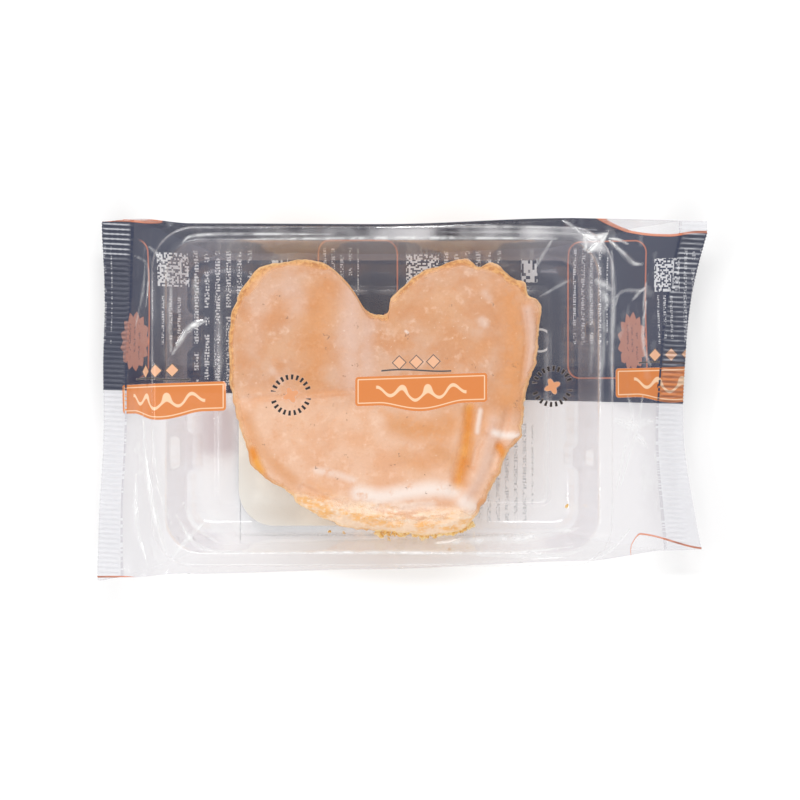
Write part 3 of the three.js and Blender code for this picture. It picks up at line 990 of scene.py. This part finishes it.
def make_sheet():
    """The greaseproof sheet between the pastry and the tray's floor, curling a little up the near wall."""
    x0, y0, x1, y1 = SHEET_BOX
    sheet, u, v = sheet_of_points("base_sheet", 90, 72)
    half_x, half_y = (x1 - x0) / 2, (y1 - y0) / 2
    dx, dy = (2 * u - 1) * half_x, (2 * v - 1) * half_y
    over_x = np.maximum(np.abs(dx) - (half_x - SHEET_CORNER), 0)
    over_y = np.maximum(np.abs(dy) - (half_y - SHEET_CORNER), 0)
    bulge = np.maximum(over_x, over_y)
    length = np.hypot(over_x, over_y)
    shrink = np.where(length > 1e-6, bulge / np.maximum(length, 1e-6), 1)
    dx = np.sign(dx) * (np.minimum(np.abs(dx), half_x - SHEET_CORNER) + over_x * shrink)
    dy = np.sign(dy) * (np.minimum(np.abs(dy), half_y - SHEET_CORNER) + over_y * shrink)
    x, y = (x0 + x1) / 2 + dx, (y0 + y1) / 2 + dy
    curl = ramp(-42, -56, y) * 3.4
    place(sheet, x, y, SHEET_HEIGHT + curl + waves(x, y, 16, 51) * 0.1)
    tidy_mesh(sheet, merge=0)
    apply_modifier(sheet, "SOLIDIFY", thickness=SHEET_THICKNESS * MM, offset=1)
    bpy.ops.object.shade_smooth_by_angle(angle=SHARP_SHEET)
    return sheet


# A crumb's length, width and height for its size, and the turn from one crumb to the next.
SHARD = (1.3, 0.8, 0.55)
GOLDEN_TURN = 2.399


def make_crumb(at, size, seed):
    """One crumb: a small ball pulled about into an uneven shard."""
    deselect()
    bpy.ops.mesh.primitive_ico_sphere_add(subdivisions=2, radius=size * MM)
    crumb = bpy.context.object
    px, py, pz = (coordinates(crumb) / MM).T
    pull = 1 + 0.5 * waves(px * 3 + seed * 7, py * 3 + pz * 2, size * 3, seed % 9)
    px, py, pz = (part * pull * stretch for part, stretch in zip((px, py, pz), SHARD))
    c, s = math.cos(seed * GOLDEN_TURN), math.sin(seed * GOLDEN_TURN)
    place(crumb, px * c - py * s + at[0], px * s + py * c + at[1], pz + at[2])
    return crumb


def joined(name, pieces):
    """The pieces as one, under that name."""
    only(pieces[0])
    for piece in pieces:
        piece.select_set(True)
    bpy.ops.object.join()
    piece = bpy.context.object
    piece.name = name
    piece.data.name = name
    bpy.ops.object.shade_smooth_by_angle(angle=SHARP_CRUMB)
    return piece


# The seam's two edges along Y, its half-length in reach, its thickness, and its ridges.
FIN_SEAL = (3, 14)
FIN_REACH = 1.96
FIN_THICKNESS = 0.13
FIN_RIDGES, FIN_RIDGE = 8, 0.03


def make_fin_seal():
    """The seam that closes the bag lengthwise, pressed flat under it."""
    seal, u, v = sheet_of_points("fin_seal", 240, 48)
    way = FIN_REACH * (2 * u - 1)
    reach = np.abs(way)
    under = v < 0.5
    across_seal = np.where(under, v * 2, 2 - v * 2)
    y = lerp(FIN_SEAL[0], FIN_SEAL[1], across_seal)
    left, right = (ring_x(sign, reach, y, BASE_INSET, BASE_CORNER) for sign in (-1, 1))
    x = np.where(way < 0, left, right)
    top = np.where(way < 0, film_below(-1, reach, y), film_below(1, reach, y)) - 0.03
    from_edge = np.minimum(across_seal, 1 - across_seal)
    thick = FIN_THICKNESS * np.clip(from_edge * 16, 0, 1) * np.clip((FIN_REACH - reach) * 40, 0, 1)
    ridge = FIN_RIDGE * np.sin(across_seal * 2 * math.pi * FIN_RIDGES) * (thick > 0.1)
    place(seal, x, y, top - np.where(under, thick - ridge, 0))
    return tidy_mesh(seal, merge=0.002)


def make_flake(turn, half_turn, height, out, seed):
    """One thin leaf of crust that stands out of the pastry's side, with a ragged outer edge."""
    flake, u, v = sheet_of_points("flake", 14, 6)
    outward = 1 - np.abs(2 * v - 1)
    at = turn + (2 * u - 1) * half_turn
    taper = np.sin(math.pi * u) ** 0.6
    torn = 0.75 + 0.35 * waves(at * 60, np.full(len(at), seed * 3), 2, 61)
    reach = pastry_reach(at) - 1.4 + (1.4 + out) * outward * taper * torn
    droop = 0.5 * outward**2 + 0.5 * waves(at * 60, np.full(len(at), seed * 5), 6, 62)
    leaf = 0.22 * (1 - outward) * taper * np.sign(v - 0.5)
    x, y = round_pastry(at, reach)
    place(flake, x, y, height - droop + leaf)
    return tidy_mesh(flake, merge=0.01)


FLAKE_COUNT = 96


def make_flakes():
    """The leaves of crust that have lifted round the pastry's side."""
    draw = np.random.default_rng(21)
    flakes = []
    for i in range(FLAKE_COUNT):
        turn = -math.pi + 2 * math.pi * (i + draw.uniform(0, 0.9)) / FLAKE_COUNT
        height = draw.uniform(6, 22) - 4 * float(ramp(-38, -54, math.sin(turn) * 56))
        flakes.append(make_flake(turn, draw.uniform(0.05, 0.15), height, draw.uniform(0.3, 1.5), i))
    return joined("edge_flakes", flakes)


CRUMB_COUNT = 120
NEAR_EDGE = (-1.66, -0.98)
LOOSE_CRUMBS = [(-5.4, -57.6), (19.8, -62), (68.6, -44), (-30, -54.5), (-24, -55), (30, -52)]


def make_crumbs():
    """Golden crumbs along the pastry's near edge, and a few loose ones on the tray."""
    draw = np.random.default_rng(7)
    crumbs = []
    for i in range(CRUMB_COUNT):
        turn = draw.uniform(*NEAR_EDGE)
        reach = float(pastry_reach(turn)) + draw.uniform(-4, 1.8)
        at = round_pastry(turn, reach)
        height = draw.uniform(14.5, 20.5) if reach < pastry_reach(turn) else draw.uniform(8, 17)
        crumbs.append(make_crumb((*at, height), draw.uniform(0.5, 1.5), i))
    for i, at in enumerate(LOOSE_CRUMBS):
        crumbs.append(make_crumb((*at, 4.2 + 0.8 * (i < 2)), 0.7, 90 + i))
    return joined("crumbs", crumbs)


# Finishes. The print on both films repeats along the bag.

BACK_PITCH = 104.3
FRONT_PITCH = 104.4
WHITE = (1, 1, 1)
SLATE = tone(52, 57, 79)
BORDER = tone(214, 128, 92)
PALE_PRINT = tone(205, 205, 210)
BURST = tone(166, 116, 104)
# A painted reflection of the pastry in the clear tray left of it.
PASTRY_REFLECTION_TINT = tone(182, 162, 166)
UNPRINTED = tone(208, 205, 211)
UNPRINTED_CRIMP = tone(236, 236, 240)
DARK_PRINT = tone(70, 76, 96)
ORANGE = tone(218, 124, 44)
LABEL_LINE = tone(248, 205, 165)
TICK = tone(40, 34, 34)
MARK_CORE = tone(224, 142, 76)
LOZENGE = tone(236, 178, 138)
LOZENGE_RIM = tone(44, 38, 38)
CODE_CELL = 0.72
CODE_HALF = 6.8
TABLE_GREY = (0.94, 0.94, 0.94), (0.95, 0.95, 0.95)


def bars(m, x, y, pitch, thickness, size, share):
    """Rows of short bars in place of small print, running along Y: 1 where a bar is."""
    row = (x / pitch).floor()
    middle = (x / pitch - row - 0.5).abs()
    line = middle.below(thickness / pitch / 2, 0.04)
    word = m.scatter(row, (y / size / 5).floor()).below(0.88, 0.01)
    gap = (y / size / 1.6 + row * 0.37).wrap(0, 1).below(0.7, 0.12)
    return line * word * gap * m.scatter((x / 0.55).floor(), (y / size).floor()).below(share, 0.01)


def box_mask(x, y, cx, cy, half_x, half_y, soft=0.12):
    return (x - cx).abs().below(half_x, soft) * (y - cy).abs().below(half_y, soft)


def rounded_distance(x, y, half_x, half_y, radius):
    """The distance outside a rounded rectangle, less than nought inside it."""
    qx = x.abs() - (half_x - radius)
    qy = y.abs() - (half_y - radius)
    return qx.most(0).length(qy.most(0)) + qx.most(qy).least(0) - radius


def back_print(m, bare):
    """The back of the bag: how far each place is inked, and in which colour, with a painted reflection of the
    pastry laid in like ink.
    """
    x, y = m.x - 1.4, m.y - 1.2
    around = x - (-90 - x).most(0) * 0.12 + (x - 75).most(0) * 0.08 + (x - 102.6).most(0) * 0.26
    wander = (x * 0.09).sin() * 0.6
    top_edge = 75 - x.ramp(58, 104) * 8.4 + wander
    top_edge = top_edge + x.ramp(108, 120) * 1.6 - x.ramp(-88, -100) * 3.3
    low_edge = x.ramp(86, 97) * 17.6 - x.ramp(97, 124) * 4.8 - 74.2 + wander
    band_edge = y + x * 0.024
    slate = band_edge.above(0, 0.25) * (y - top_edge).below(0, 0.25)
    field = band_edge.below(0, 0.25) * (y - low_edge).above(0, 0.25)
    border = (y - top_edge).abs().below(0.5, 0.15).most((y - low_edge).abs().below(0.4, 0.15))
    dx = (around - 7.3).wrap(-BACK_PITCH / 2, BACK_PITCH / 2)
    block = m.scatter((dx / CODE_CELL).floor(), (y / CODE_CELL).floor()).below(0.52, 0.01)
    code = box_mask(dx, y + x.ramp(90, 102) * 2.6, 0, 52.9, CODE_HALF, CODE_HALF) * block
    long_rows = bars(m, dx + 60, y, 4.5, 2, 0.75, 0.62) * box_mask(dx, y, 21, 33, 12, 28)
    short_rows = bars(m, dx + 60.7, y, 3.6, 1.4, 0.6, 0.62)
    short_place = box_mask(dx, y, 0, 32, 5.2, 10).most(box_mask(dx, y, -34, 42, 7.4, 20))
    frame_line = rounded_distance(dx + 27, y - 36.3, 16.5, 28.3, 5).abs().below(0.3, 0.12)
    frame_line = frame_line * (x + 108).above(0, 1.5)
    bx, by = (dx + 16.4) * 2, y - 23
    angle = bx.turn(by) * 13 / math.pi
    ray = angle.wrap(-1, 1).abs() * (m.scatter((angle / 2 + 0.5).floor(), 3) * 1.6 + 1.4)
    burst = (bx.length(by) + ray).below(12.4, 0.3)
    lines = bars(m, dx + 45.8, y, 1.9, 0.8, 0.6, 0.6) * box_mask(dx, y, -16.4, 23, 3.4, 7.6)
    specks = m.scatter((dx / 0.9).floor(), (y / 1.3).floor()).below(0.5, 0.01)
    mark = box_mask(dx, y, 44.6, 53, 3.4, 5) * specks
    circle = ((dx - 49.2).length(y - 23.8) - 4.6).abs().below(0.45, 0.12)
    pale = code.most(long_rows * 0.8).most(short_rows * short_place * 0.8).most(mark * 0.8).most(circle * 0.9)
    rows = bars(m, x, y, 3.7, 1.6, 0.75, 0.62) * box_mask(x, y, 42, -31.5, 11.6, 20.5)
    table = (x + 68.8).abs().below(0.25, 0.1) * (y + 42).abs().below(18, 0.2)
    dots = (y + 57.6).abs().below(0.4, 0.12) * (x * 4.2).sin().above(-0.2, 0.3)
    dots = dots * (x + 10).abs().below(60, 0.2)
    # A small dark spot just below the pastry's near edge.
    dark_spot = ((x + 33) / 3.4).length((y + 50) / 1.9).below(1, 0.2)
    dark = rows.most(table).most(dots * 0.8).most(dark_spot * 0.9) * field
    # Painted pinkish-grey reflection of the pastry in the clear tray, left of the pastry, in the lower field.
    pastry_reflection = (x + 78).abs().below(12, 9) * (y + 14).abs().below(13, 7) * field
    colour = m.over(bare, (slate, SLATE), (burst * slate * (1 - lines * 0.6), BURST),
                    (frame_line * slate * 0.6, BORDER), (border, BORDER),
                    (pale * slate * (1 - burst), PALE_PRINT), (pastry_reflection * 0.8, PASTRY_REFLECTION_TINT), (dark, DARK_PRINT))
    ink = (slate * 0.96).most(border * 0.85).most(dark * 0.5).most(field * 0.46).most(0.36)
    return ink.most(pastry_reflection * 0.8), colour


def front_print(m):
    """The shown side: orange labels with a thin pale outline, and small round marks."""
    x = m.x
    around = x + (x + 100).least(0) * 0.62
    level = m.y - 4.3 - (x - 7.8) * 0.033
    fx = (around - 7.8).wrap(-FRONT_PITCH / 2, FRONT_PITCH / 2)
    sag = (1 - (fx / 17) * (fx / 17)).most(0)
    ly = level + sag * sag * 2.8 * level.below(0, 2.5)
    gap = rounded_distance(fx, ly, 26.4, 5.9, 1.4)
    label = gap.below(0, 0.12)
    outline = (gap + 1.2).abs().below(0.22, 0.1)
    wave = (ly - (fx * 0.62).sin() * 1.5).abs().below(0.62, 0.15) * fx.abs().below(18, 0.3)
    sx = (x + 44.2).wrap(-FRONT_PITCH / 2, FRONT_PITCH / 2)
    sy = level + 0.5
    from_mark = sx.length(sy)
    ticks = (from_mark - 7.2).abs().below(1.05, 0.12) * (sx.turn(sy) * 22).sin().above(0, 0.3)
    ticks = ticks * sy.abs().above(1.5, 0.2)
    core = (from_mark - ((sx.turn(sy) * 4).sin() * 0.8)).below(2.6, 0.25)
    petal = (fx + 2).wrap(-3.4, 3.4).abs() + (ly - 11).abs()
    on_row = (fx + 2).abs().below(10.1, 0.1)
    peach = petal.below(2.5, 0.15) * on_row
    under_line = (ly - 7.6 + (fx * 0.16).sin() * 0.6).abs().below(0.36, 0.12)
    under_line = under_line * (fx + 2).abs().below(14, 0.2)
    rim = (petal.below(3, 0.12) * on_row).most(under_line)
    colour = m.over(ORANGE, (outline.most(wave), LABEL_LINE), (ticks, TICK), (core, MARK_CORE),
                    (rim, m.mix(peach, LOZENGE_RIM, LOZENGE)))
    return (label * 0.97).most(ticks).most(core * 0.9).most(rim * 0.96), colour


def clear_film_material():
    """The front film: clear, with its print, and painted white highlights along its creases."""
    m = Material("clear_film")
    ink, print_colour = front_print(m)
    # Painted highlight: the film turns whiter and less clear along the painted streaks.
    painted_highlight = m.painted("painted_highlight") * (m.noise(4, 1).ramp(0.3, 0.6) * 0.5 + 0.5)
    gloss = m.edge_light(0.2) * 0.7 + 0.004 + painted_highlight * 0.95
    colour = m.over(WHITE, (ink, print_colour), (painted_highlight * 0.6, WHITE))
    shader = m.principled(Base_Color=colour, Metallic=(1 - ink) * (1 - painted_highlight) * 0.65, Roughness=0.12,
                          Normal=m.bump(m.noise(5, 1), 0.0008, 0.4))
    return m.finish(m.see_through(gloss.most(ink), shader))


def printed_film_material():
    """The back film, printed all over."""
    m = Material("printed_film")
    ink, print_colour = back_print(m, UNPRINTED)
    shader = m.principled(Base_Color=print_colour, Roughness=0.2)
    return m.finish(m.see_through((m.edge_light(0.12) * 0.5).most(ink), shader))


def pressed_film_material():
    """The crimps, where the two films are one: the front's print over the back's, with painted highlights on
    the rib crests and painted shade in the troughs.
    """
    m = Material("pressed_film")
    ink, colour = back_print(m, UNPRINTED_CRIMP)
    front_ink, front_colour = front_print(m)
    rib, lit = m.painted("rib"), m.painted("lit")
    # Over the print: painted highlight on the rib crests, painted shade in the troughs, darker where the
    # print is dark, and brighter painted highlight where lit is painted.
    colour = m.over(colour, (front_ink, front_colour), ((1 - rib) * 0.05, WHITE),
                    (rib * 0.07, tone(110, 114, 130)), (rib * ink.ramp(0.7, 0.9) * 0.55, tone(28, 33, 54)),
                    (lit * 0.75, tone(236, 238, 244)))
    shader = m.principled(Base_Color=colour, Roughness=0.22 + rib * 0.1,
                          Normal=m.bump(m.noise(3, 2), 0.0006, 0.4))
    return m.finish(m.see_through(ink.most(front_ink).most(0.55), shader))


def tray_material():
    """Clear plastic, with painted highlights along its bends and painted streaky reflections in its end
    walls.
    """
    m = Material("clear_tray")
    streak = m.noise(4, 2, stretch=(1, 14, 3))
    factor = m.edge_light(0.16) * 0.34 + 0.003 + (streak - 0.5).most(0) * 0.06
    # Painted highlights along the bends.
    factor = factor + m.painted("bend") * m.noise(22, 2).ramp(0.3, 0.7) * 0.3
    # Painted streaky reflections in the end walls, in pinkish grey.
    wall = m.painted("wall")
    factor = factor + wall * m.noise(2.2, 1, stretch=(8, 1, 8)).ramp(0.4, 0.7) * 0.05
    colour = m.mix(wall, tone(250, 248, 250), tone(222, 218, 224))
    shader = m.principled(Base_Color=colour, Metallic=0.6, Roughness=0.11, Normal=m.bump(streak, 0.0004, 0.4))
    return m.finish(m.see_through(factor, shader))


def pastry_material():
    """Baked crust: golden rims, saffron where the glaze is open, cream crumb, and leaves at the sides."""
    m = Material("baked_crust")
    gold, saffron = m.painted("gold"), m.painted("saffron")
    pale, side = m.painted("pale"), m.painted("side")
    broad, fine = m.noise(9, 3), m.noise(1.7, 3, 0.65)
    layers = m.noise(2.6, 2, 0.6, stretch=(6, 6, 0.45))
    patches = m.noise(6, 3, 0.6, stretch=(1.6, 0.6, 1))
    cream = m.mix(patches.ramp(0.44, 0.6), tone(250, 222, 194), tone(246, 188, 116))
    colour = m.over(
        tone(216, 152, 102),
        (broad.ramp(0.35, 0.68), tone(228, 176, 134)),
        (fine.ramp(0.5, 0.8) * 0.4, tone(244, 212, 172)),
        (gold * 0.85, m.mix(fine.ramp(0.4, 0.6), tone(184, 114, 54), tone(228, 170, 100))),
        (saffron * 0.95, m.mix(broad.ramp(0.4, 0.6), tone(222, 133, 26), tone(230, 156, 56))),
        (pale * 0.95, m.mix(fine.ramp(0.5, 0.7) * 0.7, cream, tone(255, 244, 226))),
        (side * layers.ramp(0.38, 0.62) * 0.7, tone(246, 208, 152)),
        (side * layers.ramp(0.56, 0.34) * 0.5, tone(206, 146, 86)))
    height = broad * 0.6 + fine * 0.7 + layers * side
    shader = m.principled(Base_Color=colour, Roughness=0.5 + fine * 0.2, Normal=m.bump(height, 0.0008, 0.7))
    return m.finish(shader)


def glaze_material():
    """Thin set sugar: peach above, paler below, with pink, amber and white places, specks and grains; painted
    highlights lie among the white places.
    """
    m = Material("sugar_glaze")
    coat, white_and_highlight = m.painted("coat"), m.painted("white_and_highlight")
    warm, pink, broken = m.painted("warm"), m.painted("pink"), m.painted("crumbly")
    amber, saffron = m.painted("amber"), m.painted("saffron")
    cloud, speck = m.noise(13, 3, 0.55), m.noise(0.9, 2, 0.6)
    patch, mottle = m.noise(26, 2), m.noise(3.6, 3, 0.62)
    flaky = m.noise(5, 3, 0.6, stretch=(1.6, 0.6, 1))
    clouds = cloud.ramp(0.36, 0.62)
    low = (m.y + m.x * 0.1 + (cloud - 0.5) * 16).ramp(3, -8)
    grain = m.noise(4, 0).ramp(0.74, 0.78)
    colour = m.over(
        tone(204, 145, 104),
        (clouds, tone(211, 169, 143)),
        (patch.ramp(0.46, 0.66) * 0.5, tone(212, 152, 101)),
        (low * 0.85, m.mix(clouds, tone(228, 177, 143), tone(233, 191, 163))),
        (mottle.ramp(0.54, 0.72) * 0.35, tone(248, 214, 190)),
        (mottle.ramp(0.44, 0.3) * 0.22, tone(214, 140, 88)),
        (amber * mottle.ramp(0.1, 0.5) * 0.95, tone(207, 138, 76)),
        (warm * mottle.ramp(0.2, 0.55) * 0.6, tone(220, 142, 72)),
        (pink * 0.85, tone(216, 182, 166)),
        (saffron * mottle.ramp(0.15, 0.5) * 0.95, tone(203, 121, 14)),
        (broken * flaky.ramp(0.4, 0.56), tone(252, 226, 200)),
        (broken * flaky.ramp(0.62, 0.72) * 0.8, tone(242, 190, 124)),
        # White glaze and painted highlights.
        (white_and_highlight * 0.9 * mottle.ramp(0.16, 0.46), tone(242, 230, 222)),
        (speck.above(0.74, 0.03) * 0.6, tone(254, 240, 224)),
        (grain * speck.above(0.6, 0.05) * 0.7, tone(104, 72, 54)))
    opacity = (coat + (mottle - 0.5) * 0.4).ramp(0, 1.05) * 0.92
    height = cloud * 0.8 + mottle * 0.7 + speck * 0.14
    shader = m.principled(Base_Color=colour, Roughness=0.3 + mottle * 0.3, Coat_Weight=white_and_highlight * 0.1 + 0.05,
                          Normal=m.bump(height, 0.0007, 0.7))
    return m.finish(m.see_through(opacity, shader))


def sheet_material():
    m = Material("greaseproof_sheet")
    fibre, stain = m.noise(0.8, 4, 0.7), m.noise(14, 3)
    colour = m.mix(stain.ramp(0.4, 0.7), tone(228, 227, 222), tone(238, 238, 233))
    shader = m.principled(Base_Color=colour, Roughness=0.75, Normal=m.bump(fibre, 0.0001, 0.6))
    return m.finish(shader)


def crumb_material():
    m = Material("golden_crumb")
    shade = m.noise(2.4, 3)
    colour = m.mix(shade.ramp(0.35, 0.65), tone(228, 176, 92), tone(246, 222, 170))
    shader = m.principled(Base_Color=colour, Roughness=0.7, Normal=m.bump(m.noise(0.7, 3), 0.0002, 0.8))
    return m.finish(shader)


def flake_material():
    m = Material("lifted_leaves")
    shade = m.noise(3, 3, 0.6)
    colour = m.mix(shade.ramp(0.36, 0.64), tone(208, 146, 84), tone(246, 210, 156))
    shader = m.principled(Base_Color=colour, Roughness=0.55, Normal=m.bump(m.noise(0.9, 2), 0.0002, 0.7))
    return m.finish(shader)


def floor_material():
    m = Material("white_table")
    colour = m.mix(m.noise(120, 2), *TABLE_GREY)
    return m.finish(m.principled(Base_Color=colour, Roughness=0.6))


def dress(piece, material):
    piece.data.materials.clear()
    piece.data.materials.append(material)
    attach(piece, "root")
    return piece


# Stage: the table, the lights and the camera.

def make_floor():
    deselect()
    bpy.ops.mesh.primitive_plane_add(size=6)
    floor = bpy.context.object
    floor.name = "table"
    floor.data.materials.append(floor_material())


def aimed(where, aim):
    """The turn that looks from one place at another, with +Y up in the picture."""
    back = (where - aim).normalized()
    right = Vector((0, 1, 0)).cross(back).normalized()
    return Matrix((right, back.cross(right), back)).transposed().to_euler()


def make_light(name, place_mm, size, power):
    """An area light that looks at the pack's middle."""
    deselect()
    where = Vector(place_mm) * MM
    bpy.ops.object.light_add(type="AREA", location=where)
    light = bpy.context.object
    light.name = name
    light.data.shape = "RECTANGLE"
    light.data.size, light.data.size_y = size
    light.data.energy = power
    light.rotation_euler = aimed(where, Vector((0, 0, 0)))


CAMERA_PLACE = (-0.7, 0.1, 627)
CAMERA_AIM = (-0.7, 0.1, 0)
CAMERA_LENS = 67.5
WORLD_STRENGTH = 0.74
# Lights: name, place, size across and along in metres, and power.
LIGHTS = [
    ("far_strip", (0, 850, 900), (1.2, 0.14), 4.6),
    ("near_window", (100, -900, 900), (1.2, 0.5), 3.4),
    ("left_strip", (-800, 100, 700), (0.1, 0.7), 1.6),
]


def make_camera():
    deselect()
    where, aim = Vector(CAMERA_PLACE) * MM, Vector(CAMERA_AIM) * MM
    bpy.ops.object.camera_add(location=where)
    camera = bpy.context.object
    camera.data.lens = CAMERA_LENS
    camera.data.sensor_width = 36
    camera.data.clip_start = 0.01
    camera.rotation_euler = aimed(where, aim)
    bpy.context.scene.camera = camera


def make_world():
    world = bpy.data.worlds.new("soft_room")
    world.use_nodes = True
    background = world.node_tree.nodes["Background"]
    background.inputs["Color"].default_value = (1, 1, 1, 1)
    background.inputs["Strength"].default_value = WORLD_STRENGTH
    bpy.context.scene.world = world


def main():
    make_camera()
    make_world()
    make_floor()
    for light in LIGHTS:
        make_light(*light)
    bpy.context.scene.view_settings.view_transform = "Standard"
    bpy.context.scene.cycles.transparent_max_bounces = 24
    clear, printed, pressed = clear_film_material(), printed_film_material(), pressed_film_material()
    film = dress(make_film(), clear)
    film.data.materials.append(printed)
    two_faced(film)
    for name, sign in (("crimp_left", -1), ("crimp_right", 1)):
        crimp = dress(make_crimp(name, sign), pressed)
        crimp.data.materials.append(printed)
        two_faced(crimp)
    tray = dress(make_tray(), tray_material())
    for clear_piece in (film, tray):
        clear_piece.visible_shadow = False
        clear_piece.visible_diffuse = False
    dress(make_sheet(), sheet_material())
    dress(make_pastry(), pastry_material())
    glaze = dress(make_glaze(), glaze_material())
    glaze.visible_shadow = False
    glaze.visible_diffuse = False
    dress(make_flakes(), flake_material())
    dress(make_crumbs(), crumb_material())
    dress(make_fin_seal(), printed)
    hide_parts("sealed_bag")


main()
